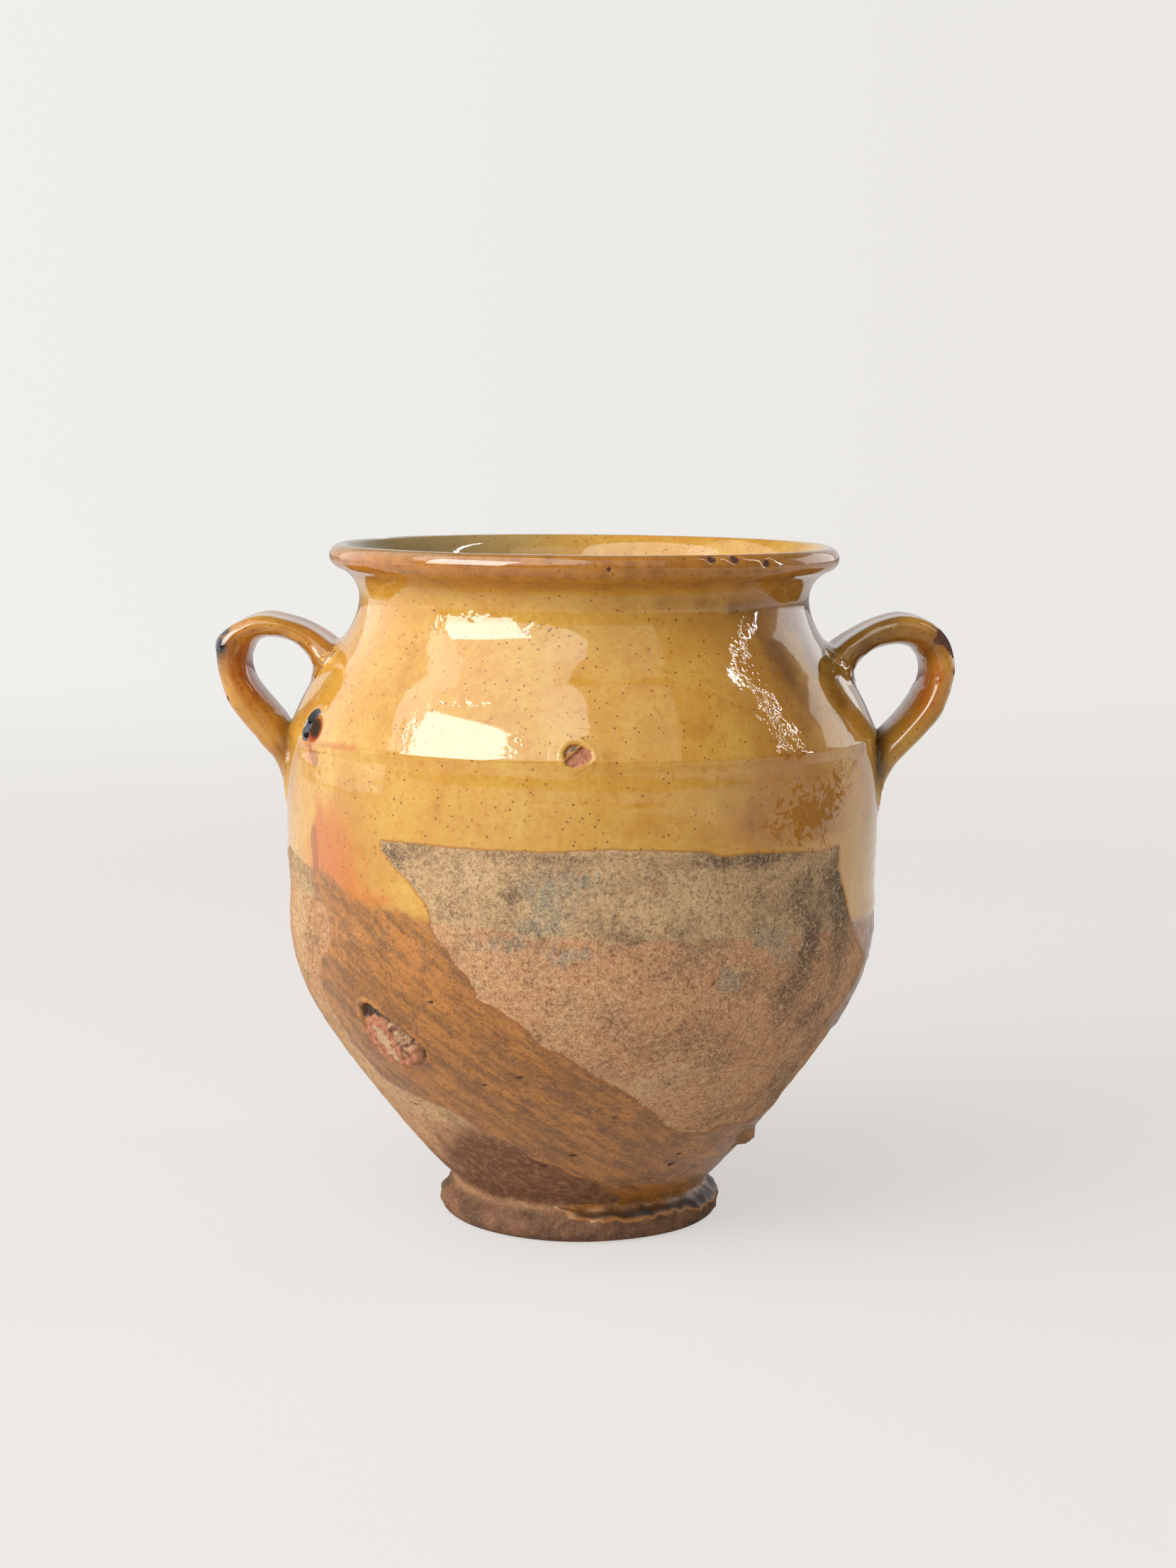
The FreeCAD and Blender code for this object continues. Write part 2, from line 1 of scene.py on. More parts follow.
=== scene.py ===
import math
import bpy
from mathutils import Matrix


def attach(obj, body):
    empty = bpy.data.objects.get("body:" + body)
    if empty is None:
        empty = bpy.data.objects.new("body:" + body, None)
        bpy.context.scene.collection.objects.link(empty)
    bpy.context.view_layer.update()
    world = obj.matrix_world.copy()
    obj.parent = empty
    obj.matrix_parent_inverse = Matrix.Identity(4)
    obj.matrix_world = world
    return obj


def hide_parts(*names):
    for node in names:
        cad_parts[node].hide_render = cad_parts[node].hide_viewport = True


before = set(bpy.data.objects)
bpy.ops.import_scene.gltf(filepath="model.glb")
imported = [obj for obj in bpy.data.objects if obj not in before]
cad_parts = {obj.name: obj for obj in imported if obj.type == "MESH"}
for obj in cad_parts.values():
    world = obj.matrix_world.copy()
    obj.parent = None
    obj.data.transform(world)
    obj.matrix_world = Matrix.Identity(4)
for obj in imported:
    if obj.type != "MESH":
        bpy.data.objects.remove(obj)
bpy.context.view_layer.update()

from types import SimpleNamespace

import bpy
import numpy as np
from mathutils import Matrix, Vector

MM = 0.001
HEIGHT = 250.0

# ---- Lines and curves ----


def cubic(points, slopes, i, u, h=1.0):
    """The cubic from point i to the next at share u of a stretch of length h: it meets both points
    with the slopes given there."""
    return ((2 * u ** 3 - 3 * u ** 2 + 1) * points[i] + (u ** 3 - 2 * u ** 2 + u) * h * slopes[i]
            + (3 * u ** 2 - 2 * u ** 3) * points[i + 1] + (u ** 3 - u ** 2) * h * slopes[i + 1])


def through(points, steps):
    """A smooth line through points: between two of them it is the cubic whose end slopes are the
    central slopes of the points, by chord length. Steps gives the spacing wanted on each stretch."""
    p = np.asarray(points, float)
    lengths = np.hypot(*np.diff(p, axis=0).T)
    k = np.concatenate([[0.0], np.cumsum(lengths)])
    slope = np.gradient(p, k, axis=0)
    counts = np.maximum(1, np.round(lengths / np.asarray(steps[: len(lengths)]))).astype(int)
    t = np.concatenate([np.linspace(k[i], k[i + 1], n, endpoint=False) for i, n in enumerate(counts)] + [k[-1:]])
    i = np.clip(np.searchsorted(k, t, side="right") - 1, 0, len(k) - 2)
    h = (k[i + 1] - k[i])[:, None]
    return cubic(p, slope, i, (t - k[i])[:, None] / h, h)


def ramp(low, high, value):
    """0 below low, 1 above high, and the smooth cubic between them."""
    u = np.clip((value - low) / (high - low), 0.0, 1.0)
    return u * u * (3.0 - 2.0 * u)


def ripple(x, y, z, length, seed):
    """A soft random field from -1 to 1: the mean of sine waves with random directions, whose
    wavelengths lie round the length given."""
    rng = np.random.default_rng(seed)
    total = np.zeros(np.broadcast(x, y, z).shape)
    waves = 9
    for _ in range(waves):
        way = rng.normal(size=3)
        way *= 2 * math.pi / (np.linalg.norm(way) * length * rng.uniform(0.7, 1.5))
        total += np.sin(way[0] * x + way[1] * y + way[2] * z + rng.uniform(0, 2 * math.pi))
    return total / math.sqrt(waves)


# ---- The turned body ----

# Reach from the axis, height and spacing to the next point, in millimetres, from the middle of the
# underside up the outside, over the lip and down the inside to the middle of the floor
PROFILE = (
    (6.0, 0.7, 8.0), (26.0, 0.6, 6.0), (43.0, 0.2, 3.0), (48.6, 0.0, 1.6), (50.9, 0.5, 1.0),
    (52.3, 2.0, 1.0), (52.8, 4.1, 1.0), (52.2, 6.5, 1.0), (50.7, 8.2, 1.0), (49.0, 9.4, 1.0),
    (47.6, 11.0, 1.0), (47.4, 12.8, 1.1), (48.9, 14.9, 1.2), (53.7, 19.8, 1.35), (62.9, 30.0, 1.4),
    (71.1, 40.0, 1.4), (78.8, 50.0, 1.4), (86.3, 60.0, 1.4), (93.2, 70.0, 1.4), (99.5, 80.0, 1.4),
    (104.3, 90.0, 1.4), (107.3, 100.0, 1.4), (108.6, 108.0, 1.4), (108.9, 115.0, 1.4),
    (108.6, 126.0, 1.4), (109.2, 138.0, 1.4), (109.5, 150.0, 1.4), (109.4, 162.0, 1.4),
    (108.9, 172.0, 1.35), (108.4, 179.5, 1.1), (108.3, 182.2, 0.8), (107.7, 184.2, 1.1),
    (105.9, 188.2, 1.4), (103.6, 193.0, 1.4), (100.5, 198.5, 1.4), (97.0, 204.0, 1.4),
    (92.4, 210.0, 1.4), (88.0, 216.0, 1.3), (84.6, 222.0, 1.3), (82.9, 228.0, 1.3),
    (82.9, 232.8, 1.2), (85.8, 238.3, 1.0), (88.6, 240.6, 0.8), (91.4, 241.9, 0.8), (93.3, 244.2, 0.8),
    (93.5, 246.6, 0.8), (92.2, 248.9, 0.8), (90.0, 249.9, 0.8), (88.0, 249.7, 0.9), (86.2, 248.3, 1.2),
    (82.0, 242.8, 1.6), (78.6, 236.4, 1.8), (76.8, 230.4, 2.2), (77.2, 223.6, 3.2), (80.4, 215.4, 4.2),
    (86.2, 207.0, 5.5), (92.6, 199.2, 5.5), (98.2, 189.6, 5.5), (101.6, 180.0, 6.5),
    (103.0, 160.0, 7.5), (102.9, 140.0, 7.5), (102.2, 122.0, 7.5), (101.9, 108.0, 7.5),
    (98.4, 92.0, 7.5), (90.2, 76.0, 7.5), (78.2, 60.0, 7.5), (62.6, 40.0, 6.0), (50.4, 25.4, 5.0),
    (40.2, 16.4, 5.0), (28.0, 11.8, 7.0), (8.0, 11.0, 8.0),
)
LIP_TOP = 47  # the profile point at the top of the lip
COLUMNS = 316
FRONT_HALF = 84.0  # degrees to each side of the front where columns are closer together
FRONT_WEIGHT = 3.1
BODY_REACH = 109.7  # nothing on the body but the handles stands farther out
JOINED_REACH = 109.72  # the same, where a joint with a handle has been filled
SUNK = 2.4  # how deep the body lies under the skin of a mark
SUNK_SHARES = (0.62, 0.76)  # and between which shares of the skin it comes up again
SUNK_FROM = 20.0  # the height below which it isn't sunk
MARK_PROUD, MARK_DIP, MARK_BACK = 0.015, 0.30, -2.6  # a skin's face, the dip at its edge, its back
MARK_RINGS = 56
MARK_COLUMNS = 150
MARK_BACK_RINGS = 8
WALL_FOOT, WALL_TOP = 9.0, 238.0  # heights between which the wall carries its marks
FOOT_TOP = 13.2
RIDGE_HEIGHT = 182.6
LIP_FOOT = 240.0
MARKS_FROM, MARKS_TO = 14.0, 236.0  # heights between which the outside has one reach at each height
INDOORS_ROWS = 14.0  # rows below the lip on the outside over which it stops counting as indoors
OUTSIDE = 5.0  # how far outside every outline a place without a mark is taken to be
INDOORS_GLAZE = 30.0  # how far inside the glaze's edge the whole inner wall lies
# Places on the wall: angle, height, lean of the wall there and turn of what lies there
LUMP_PLACE = (67.0, 34.0, 38, 10)
ROUGH_PLACE = (24, 107.5, 0, -30)
FOOT_STROKE_PLACE = (-1.5, 18.6, 30, 7)
# Small pits low on the wall: angle, height and size
LOW_PITS = (
    (-2.0, 37.9, 1.3), (31.6, 35.7, 1.2), (31.1, 30.8, 1.5), (-47, 52, 1.0), (12, 44, 0.8), (-28.3, 98.6, 1.0),
    (-12.5, 72.2, 1.3), (-20.9, 67.4, 1.2), (-2.2, 37.6, 1.0), (-11.0, 32.0, 1.5), (8.3, 55.2, 1.0),
)
# Nicks on the lip: angle, height, half width and depth
LIP_NICKS = (
    (27.8, 248.6, 1.7, 0.9), (33.6, 248.4, 2.0, 1.0), (42.0, 246.8, 1.8, 0.7), (5.0, 245.6, 1.0, 0.6),
    (-120, 248, 3, 1.0), (150, 247, 2.5, 0.8),
)


def columns():
    """Angles round the pot in degrees, 0 at the front and positive to the right, closer together
    over the front than at the back: the inverse of the running total of a density."""
    fine = np.linspace(-180.0, 180.0, 7201)
    density = 1.0 + (FRONT_WEIGHT - 1.0) * (1.0 - ramp(FRONT_HALF - 10.0, FRONT_HALF + 14.0, np.abs(fine)))
    total = np.concatenate([[0.0], np.cumsum((density[1:] + density[:-1]) / 2)])
    return np.interp(np.arange(COLUMNS) / COLUMNS * total[-1], total, fine)


def off_angle(azimuth, angle):
    """Degrees to the right of an angle, from -180 to 180."""
    return (azimuth - angle + 180.0) % 360.0 - 180.0


def around(azimuth, reach):
    """A place round the axis: how far it lies to the right and to the back."""
    a = np.radians(azimuth)
    return reach * np.sin(a), -reach * np.cos(a)


def line_at(azimuth, points):
    """The height of a line drawn round the pot, by angle."""
    return np.interp(azimuth, *np.transpose(points))


def bell(value, width):
    """1 at zero, falling off like a round bell of the width given."""
    return np.exp(-(value / width) ** 2)


def outline_distance(azimuth, height, reach, corners):
    """Signed distance in millimetres from a closed outline drawn on the wall, positive inside it.
    A corner is an angle and a height, and an angle counts as a length by the wall's reach."""
    c = np.asarray(corners, float)
    middle = (c[:, 0].min() + c[:, 0].max()) / 2
    turn = off_angle(azimuth, middle)
    scale = np.radians(1.0) * reach
    best = np.full(azimuth.shape, 1e9)
    odd = np.zeros(azimuth.shape, bool)
    for (a0, z0), (a1, z1) in zip(c, np.roll(c, -1, axis=0)):
        a0, a1 = a0 - middle, a1 - middle
        ax, az = (turn - a0) * scale, height - z0
        bx, bz = (a1 - a0) * scale, z1 - z0
        share = np.clip((ax * bx + az * bz) / (bx * bx + bz * bz + 1e-12), 0.0, 1.0)
        best = np.minimum(best, np.hypot(ax - share * bx, az - share * bz))
        if z0 != z1:
            odd ^= ((height < z0) != (height < z1)) & (turn < a0 + (height - z0) / (z1 - z0) * (a1 - a0))
    return np.where(odd, best, -best)


# Outlines of the bare clay, as angles and heights
FRONT_CLAY = (
    (-38.6, 152.5), (-28.4, 152.7), (-15.6, 152.5), (-5, 152.6), (4.3, 153.6), (9.6, 153.3), (22.8, 151.8),
    (25, 150.1), (33.7, 150.1), (47.7, 147.6), (55.3, 148.3), (55.1, 140), (56.7, 134.8), (59.2, 127.2), (62, 115.9),
    (68, 107), (73.4, 101.2), (68, 92), (60.5, 84.5), (59.5, 81.5), (66, 77), (80, 74), (97, 69), (101, 58),
    (92, 50), (78, 46.5), (66, 44.8), (58.2, 43.9), (49.6, 45.2), (42, 45.9), (38.3, 44.7), (32.8, 45), (26.4, 47.5),
    (21.5, 51.2), (19.1, 55.4), (14.9, 60), (10.4, 66.2), (6.6, 69.8), (2.4, 74), (0.3, 77.2), (-2.9, 82),
    (-5.7, 83.6), (-7.6, 85.7), (-9.6, 91), (-11.2, 93.7), (-13.9, 97.3), (-16.7, 100), (-19, 101.9), (-19.1, 104.9),
    (-20.4, 109.2), (-22.9, 113.2), (-24.3, 117.8), (-26.6, 121.8), (-28, 125.9), (-27.4, 128.7), (-28.8, 133.8),
    (-30.7, 136.7), (-32.1, 139.8), (-35.7, 145), (-38.4, 149.6),
)
LOW_CLAY = (
    (-61, 137), (-60, 131), (-59.4, 126.5), (-56.5, 126.6), (-54.4, 122), (-53.2, 115), (-55, 109.5), (-58, 106),
    (-60.5, 99), (-60, 90), (-58.5, 82), (-57.5, 74), (-56, 67), (-53.5, 61.6), (-49.7, 59.3), (-44.9, 57.4),
    (-40.3, 56.1), (-35.7, 55), (-32.1, 52), (-28.8, 48.8), (-23.3, 44.5), (-16.1, 39.1), (-14.9, 35.6),
    (-10.9, 34.1), (-7.2, 32.7), (-2.5, 28.3), (5.9, 25.1), (11.6, 19.8), (19.2, 15.5), (16.3, 13), (6.5, 12.2),
    (-6.5, 11.6), (-30, 11.2), (-60, 11.4), (-90, 11.2), (-118, 12.4), (-131, 24), (-124, 47), (-111, 71),
    (-103, 96), (-96, 118), (-86, 134), (-76, 141), (-68, 139),
)
BACK_CLAY = (
    (108, 149), (121, 147.5), (133, 151), (149, 150.4), (166, 152.6), (181, 149.5), (196, 150.2), (212, 147.6),
    (222, 150.5), (226, 143), (221, 131), (224, 118), (216, 101), (207, 84), (195, 70), (188, 55), (176, 43),
    (163, 37), (151, 41), (140, 52), (131, 66), (120, 83), (112, 102), (107, 121), (104, 138),
)

# Heights where yellow glaze turns to brown, by angle
TONE_LINE = (
    (-180, 124), (-130, 127), (-95, 131), (-70, 133), (-58, 139), (-51.7, 136.5), (-48.6, 132.2), (-44.5, 129.8),
    (-35.3, 129.3), (-27.8, 126.6), (-10, 124), (40, 121), (66, 119), (90, 116), (130, 119), (180, 124),
)
# The low shelf left by the turning rib, by angle
SHELF_LINE = (
    (-180, 125.5), (-90, 127), (-27.4, 126), (-18, 126), (4.5, 123), (18, 121.9), (28.7, 121), (43.6, 119.1),
    (75, 118.4), (130, 121), (180, 125.5),
)

# Soft patches of colour: name, then angle, height, half width and half height in millimetres,
# turn in degrees and strength
PATCHES = {
    "dark": (
        (57, 136, 13, 14, 0, 0.9), (47, 116, 5, 12, -18, 1.0), (45, 131, 12, 12, 0, 0.7), (58, 110, 9, 16, 10, 0.8),
        (-35, 149, 12, 5, 15, 1.0), (-8, 151, 26, 2.6, 0, 0.7), (30, 148.5, 30, 3.0, 0, 0.9),
        (-12, 139, 4, 4.5, 0, 1.0), (-22, 132, 12, 8, 0, 0.55), (42, 100, 7, 10, -20, 0.5),
        (34, 131, 9, 12, 0, 0.45), (50, 92, 10, 18, 20, 0.6), (60, 60, 14, 26, 20, 0.5), (160, 140, 30, 8, 0, 0.7),
        (190, 110, 12, 30, 20, 0.6), (150, 70, 20, 16, -20, 0.6), (-100, 110, 16, 26, 0, 0.4),
        (36, 84, 8, 12, -25, 0.35), (-20, 120, 6, 6, 0, 0.4), (8, 123, 8, 2.5, 0, 0.5), (28, 70, 9, 10, -30, 0.3),
        (-26, 109, 5, 9, -30, 0.4),
    ),
    "light": (
        (16, 133, 24, 10, 0, 0.9), (-20, 143, 12, 6, 0, 0.75), (-14, 112, 16, 6, 0, 0.35), (22, 74, 18, 12, 0, 0.5),
        (12, 66, 12, 8, 0, 0.5), (170, 125, 26, 12, 0, 0.7), (36, 60, 12, 10, 0, 0.3), (130, 100, 20, 14, 0, 0.5),
        (-48, 60, 11, 11, -25, 1.0), (-36, 50, 12, 6, -30, 0.9), (-60, 62, 14, 22, 10, 0.8),
        (-70, 112, 12, 28, 0, 0.8), (2, 100, 14, 8, 0, 0.4), (-6, 90, 8, 8, 0, 0.35),
    ),
    "umber": (
        (-17, 32, 24, 11, -24, 1.0), (4, 19, 22, 8, -8, 1.0), (-34, 30, 16, 13, -30, 0.8), (-30, 18, 24, 6, 0, 0.7),
        (-60, 24, 18, 12, 0, 0.5), (-100, 30, 26, 18, 0, 0.8), (160, 50, 20, 12, 0, 0.5),
    ),
    "blue": (
        (-6, 138, 11, 9, -20, 1.0), (-8, 127, 11, 4, 0, 0.8), (2, 143, 9, 5, 0, 0.7), (-14, 120, 9, 3.5, 0, 0.9),
        (-2, 117, 9, 4, 0, 0.9), (28, 107, 7, 6, -30, 0.9), (36, 120, 12, 5, 0, 0.9), (41, 112, 8, 6, 0, 0.6),
        (22, 118, 8, 3, 0, 0.5), (175, 118, 16, 8, 0, 0.8), (150, 132, 10, 6, 0, 0.7), (-20, 106, 8, 4, 0, 0.4),
    ),
    "flush": (
        (-49, 146, 12, 14, 20, 0.75), (-56, 139, 9, 15, 15, 1.0), (-49, 134, 9, 6, 15, 0.9),
        (-57, 152, 4, 16, 0, 0.6), (-63, 120, 7, 14, 0, 0.5), (-40, 131, 12, 3.0, 8, 0.7), (-62, 180, 6, 7, 0, 0.8),
        (-70, 192, 8, 10, 0, 0.5), (-50, 182.6, 16, 1.1, 0, 0.9), (-55, 246, 24, 4, 0, 0.8),
        (-28, 247, 18, 3, 0, 0.7), (60, 246, 20, 3, 0, 0.5), (8, 206, 14, 16, -20, 0.12), (140, 180, 22, 20, 0, 0.4),
        (200, 150, 20, 6, 0, 0.5), (250, 170, 14, 20, 0, 0.5), (-8, 182.8, 12, 1.0, 0, 0.35),
        (-52, 157, 8, 8, 0, 0.4), (-30, 160, 10, 4, 0, 0.15),
    ),
    "amber": (
        (16, 215, 20, 14, 0, 0.2), (44, 205, 24, 24, 0, 0.95), (44, 165, 28, 18, 0, 1.0), (34, 170, 16, 14, 0, 0.4),
        (14, 162, 12, 9, 0, 0.15), (0, 239, 60, 3, 0, 0.6), (60, 232, 34, 9, 0, 1.0), (-40, 239, 30, 3, 0, 0.4),
        (12, 190, 9, 9, 0, 0.2), (22, 192, 5, 3.5, 0, 0.6), (-75, 170, 16, 20, 0, 0.3), (70, 170, 14, 40, 0, 0.6),
        (0, 246.5, 90, 3, 0, 0.7), (180, 200, 60, 24, 0, 0.5), (120, 180, 14, 14, 0, 0.4),
        (-130, 190, 20, 24, 0, 0.4), (-46, 163, 14, 16, 0, 0.6), (-20, 160, 16, 5, 0, 0.2),
        (-40, 144, 14, 8, 0, 0.5), (30, 158, 26, 5, 0, 0.35),
    ),
    "crinkle": (
        (39, 226, 7, 4, 0, 0.5), (38.5, 216, 6, 8, 0, 0.35), (38, 204, 7, 8, 0, 0.35), (38.5, 193, 7, 8, 0, 0.45),
        (41, 186, 7, 4, 0, 0.5), (58, 172, 6, 14, 0, 0.4), (-22, 201, 12, 2.5, 0, 0.5), (-34, 190, 4, 8, 0, 0.5),
        (-11, 188, 3, 6, 0, 0.5), (-26, 228, 3, 3, 0, 0.9), (-22, 231, 20, 2.0, 0, 0.5), (-37, 226, 3, 5, 0, 0.6),
        (-11, 226, 3, 5, 0, 0.6), (150, 190, 20, 20, 0, 0.5), (-140, 170, 20, 20, 0, 0.4),
    ),
    # dark amber glaze, which on the right side also stands in as painted shade
    "deep": (
        (78, 226, 32, 14, 0, 0.9), (86, 198, 16, 22, 0, 0.7), (80, 162, 14, 18, 0, 0.5), (50, 160, 16, 10, 0, 0.45),
        (40, 231, 16, 4, 0, 0.5), (20, 234, 24, 3, 0, 0.3), (70, 205, 14, 14, 0, 0.5), (49, 208, 9, 20, -6, 0.65),
        (62, 196, 10, 22, 0, 0.5), (30, 168, 14, 14, 0, 0.3), (-92, 205, 16, 14, 0, 0.5), (170, 225, 60, 8, 0, 0.5),
    ),
    "ragged": (
        (43.5, 161, 15, 10.5, -14, 1.0), (52, 167, 9, 9, 0, 0.7), (42, 183.0, 10, 2.6, 0, 0.55),
        (170, 170, 14, 8, 10, 0.7),
    ),
    "drip": (
        (-59.5, 149, 2.6, 5.5, -8, 1.2), (-58.6, 140, 2.2, 7.5, -4, 1.2), (-61.8, 180.2, 1.5, 3.6, 20, 1.2),
        (-59.2, 176.6, 2.8, 3.0, 0, 1.3), (19.0, 150.3, 1.5, 1.6, 0, 1.3), (66, 180, 4, 2, 0, 1.0),
        (118, 150, 3, 9, 0, 1.2), (203, 148, 3, 7, 0, 1.2),
    ),
}


def patch(azimuth, height, reach, spots):
    """A soft field from 0 to 1: the sum of round bells, each stretched and turned on the wall."""
    total = np.zeros(azimuth.shape)
    for a, z, half_width, half_height, turn, strength in spots:
        u, v = on_wall(azimuth, height, reach, a, z, 0.0, turn)
        total += strength * bell(u, half_width) * bell(v, half_height)
    return np.clip(total, 0.0, 1.0)


def on_wall(azimuth, height, reach, angle, level, lean, turn):
    """Lengths along and across a mark on the wall: right and up along the wall, then turned."""
    x = np.radians(off_angle(azimuth, angle)) * reach
    y = (height - level) / math.cos(math.radians(lean))
    c, s = math.cos(math.radians(turn)), math.sin(math.radians(turn))
    return x * c + y * s, y * c - x * s


# Marks that get a finer skin of their own: angle, height, lean of the wall there, turn of the mark,
# and how far the skin reaches along and across it in millimetres
MARKS = {
    "scar": (-39.4, 84.2, 27.0, -38.0, 26.0, 24.0),
    "chip": (-0.6, 184.2, 0.0, 12.0, 10.5, 9.5),
    "pit": (-61.8, 186.3, 0.0, -15.0, 17.0, 14.5),
}
MM_ON_WALL = math.degrees(1.0)  # the reach at which a degree is a millimetre
# Outlines in the scar's own lengths: the torn hollow, the broken lump in it, its pale porous
# strip, the deep end, the slit in the lump and the scraped clay below
SCAR_HOLLOW = (
    (-16.4, 0), (-15, -4.6), (-12.5, -8.2), (-9.4, -11.5), (-6, -14), (-0.9, -14.6), (3.8, -13), (7.9, -10.4),
    (11.8, -7.6), (14.4, -4.0), (14.6, -0.1), (13.0, 3.6), (9.6, 5.4), (4.3, 5.7), (-0.1, 5.2), (-5.1, 4.8),
    (-10.1, 4.2), (-13.6, 3.6),
)
SCAR_LUMP = (
    (-10.4, -1.6), (-6.0, 1.2), (-1.0, 2.7), (2.6, 3.2), (5.5, 4.2), (9.7, 3.8), (12.6, 1.6), (13.2, -2.6),
    (11.6, -6.9), (8.2, -10.6), (3.4, -13.4), (-1.5, -14.8), (-5.9, -14.0), (-9.8, -10.2), (-12.2, -5.6),
)
SCAR_CREAM = (
    (-8.2, -3.4), (-4.6, -2.0), (-1.6, -2.6), (1.4, -4.0), (4.6, -5.8), (7.4, -8.0), (6.4, -9.0), (2.8, -8.4),
    (-2.0, -7.0), (-6.0, -5.6),
)
SCAR_DEEP = ((-15.9, -1.1), (-14.3, 2.9), (-11.2, 3.4), (-9.8, 0.6), (-10.6, -2.4), (-12.3, -5.9), (-14.6, -4.8))
SCAR_SLIT = ((4.0, -1.0), (5.2, -1.2), (8.4, -5.2), (8.0, -6.0), (5.6, -3.8))
SCAR_SCRAPE = ((8.0, -11.6), (13.4, -6.4), (16.4, -7.6), (15.4, -12.4), (12.6, -15.0), (8.2, -15.6))
# Outlines in the chip's own lengths: its broken face and the glazed hollow beside it
CHIP_FACE = (
    (-4.9, -0.4), (-2.2, 1.4), (-0.2, 2.6), (1.5, 3.5), (3.0, 2.4), (4.1, 1.1), (4.6, -0.8), (3.1, -2.1),
    (0.4, -2.5), (-2.1, -3.0), (-4.4, -1.6),
)
CHIP_HOLLOW = (
    (-5.1, 0.8), (-4.7, 2.7), (-3.4, 4.2), (-1.9, 4.8), (0.5, 4.4), (1.7, 3.6), (-0.2, 2.7), (-2.3, 1.4),
    (-4.6, -0.2),
)

# Height of the lower edge of the glaze where it has run over the foot, by angle
FOOT_LINE = (
    (-180, 9.0), (-150, 6.5), (-135, 9.0), (-112, 10.5), (-104, 14.5), (-13, 14.5), (-11, 11.6), (-8, 9.9),
    (-5, 9.2), (1, 8.1), (6, 7.6), (10, 7.3), (15, 7.6), (20, 7.0), (25, 7.1), (31, 6.7), (36, 7.5), (43, 7.3),
    (50, 7.2), (56, 5.6), (62, 6.2), (74, 5.6), (90, 6.8), (110, 5.4), (130, 8.0), (160, 6.0), (180, 9.0),
)


def inside_of(u, v, corners):
    """Signed distance in millimetres from an outline in a mark's own lengths, positive inside."""
    return outline_distance(u, v, MM_ON_WALL, corners)


def scar_mark(u, v, rough, gritty):
    """The long scar: a torn hollow with a lump left in it, a slit and a deep end, and the clay
    scraped below. Returns how far it pushes the wall and its fields, like the two marks below."""
    hollow = inside_of(u, v, SCAR_HOLLOW) + 0.25 * rough
    lump = inside_of(u, v, SCAR_LUMP) + 0.35 * rough
    deep = inside_of(u, v, SCAR_DEEP) + 0.2 * rough
    slit = inside_of(u, v, SCAR_SLIT)
    scrape = inside_of(u, v, SCAR_SCRAPE) + 0.6 * rough
    cream = inside_of(u, v, SCAR_CREAM) + 0.5 * rough
    relief = -1.9 * ramp(-0.2, 1.5, hollow) * (0.3 + 0.7 * ramp(-9.0, 0.0, v - 0.5 * np.maximum(u, 0.0)))
    proud = 2.1 + ramp(-8.0, 10.0, u) - 0.5 * ramp(0.5, 2.0, cream) + 0.22 * rough + 0.14 * gritty
    relief += ramp(-0.2, 1.9, lump) * proud
    relief -= ramp(0.0, 1.6, deep) + 0.9 * ramp(-0.3, 0.5, slit)
    relief += 0.55 * bell(hollow + 0.9, 0.9) * ramp(-16.0, -2.0, v + 0.4 * u)
    relief -= 0.35 * ramp(-0.4, 1.2, scrape) * (1.0 + 0.5 * gritty)
    # dark glaze in the hollow above the lump, at its deep end and in the slit, with painted shade there
    upper_side = v - 0.55 * np.maximum(u - 4.0, 0.0) > -4.0 - 0.2 * u
    soot = np.where((lump > 0.4) | ~upper_side, -1.0, np.minimum(hollow - 0.5, 1.2))
    return relief, {
        "torn": lump, "cream": np.where(lump > 0.3, cream, -2.0),
        "soot": np.maximum.reduce([soot, deep, slit * 2.0]),
        "glint": 1.0 - np.hypot((u + 13.6) / 2.2, (v - 2.2) / 1.5),
        "stony": np.minimum.reduce([lump + 0.3, v + 1.0 + 0.30 * u, 0.5 * (9.5 - u)]),
    }


def chip_mark(u, v, rough, gritty):
    """The chip under the ridge: a broken face beside a hollow that the glaze ran into."""
    face = inside_of(u, v, CHIP_FACE) + 0.12 * rough
    dent = inside_of(u, v, CHIP_HOLLOW) + 0.08 * rough
    relief = -ramp(-0.15, 0.45, face) * (1.0 + 0.16 * v - 0.05 * u - 0.05 * gritty - 0.06 * rough)
    relief += 0.20 * bell(np.maximum(face, dent) + 1.1, 0.9) - 1.25 * ramp(-0.2, 1.0, dent)
    # the middle of the glazed hollow is dark glaze with painted shade
    return relief, {"broken": face, "pooled": dent, "soot": 0.9 - np.hypot((u + 1.2) / 1.9, (v - 3.1) / 0.8)}


def pit_mark(u, v, rough, gritty):
    """The hole in the glaze beside the left handle, with a raised black fold on its left."""
    pit = 1.0 - np.hypot((u + 0.4) / 7.0, v / 4.8)
    fold = np.hypot((u - 0.8) / 8.6, (v - 0.4) / 6.6)
    left_side = ramp(-1.0, 3.5, -u)
    relief = 1.3 * bell(fold - 1.0, 0.14) * left_side - 3.8 * ramp(-0.05, 0.8, pit)
    blackened = np.where(u < 1.5, 1.6 * left_side - 6.0 * np.abs(fold - 0.82) - 0.5, -2.0)
    return relief, {"pitted": pit, "blackened": blackened}


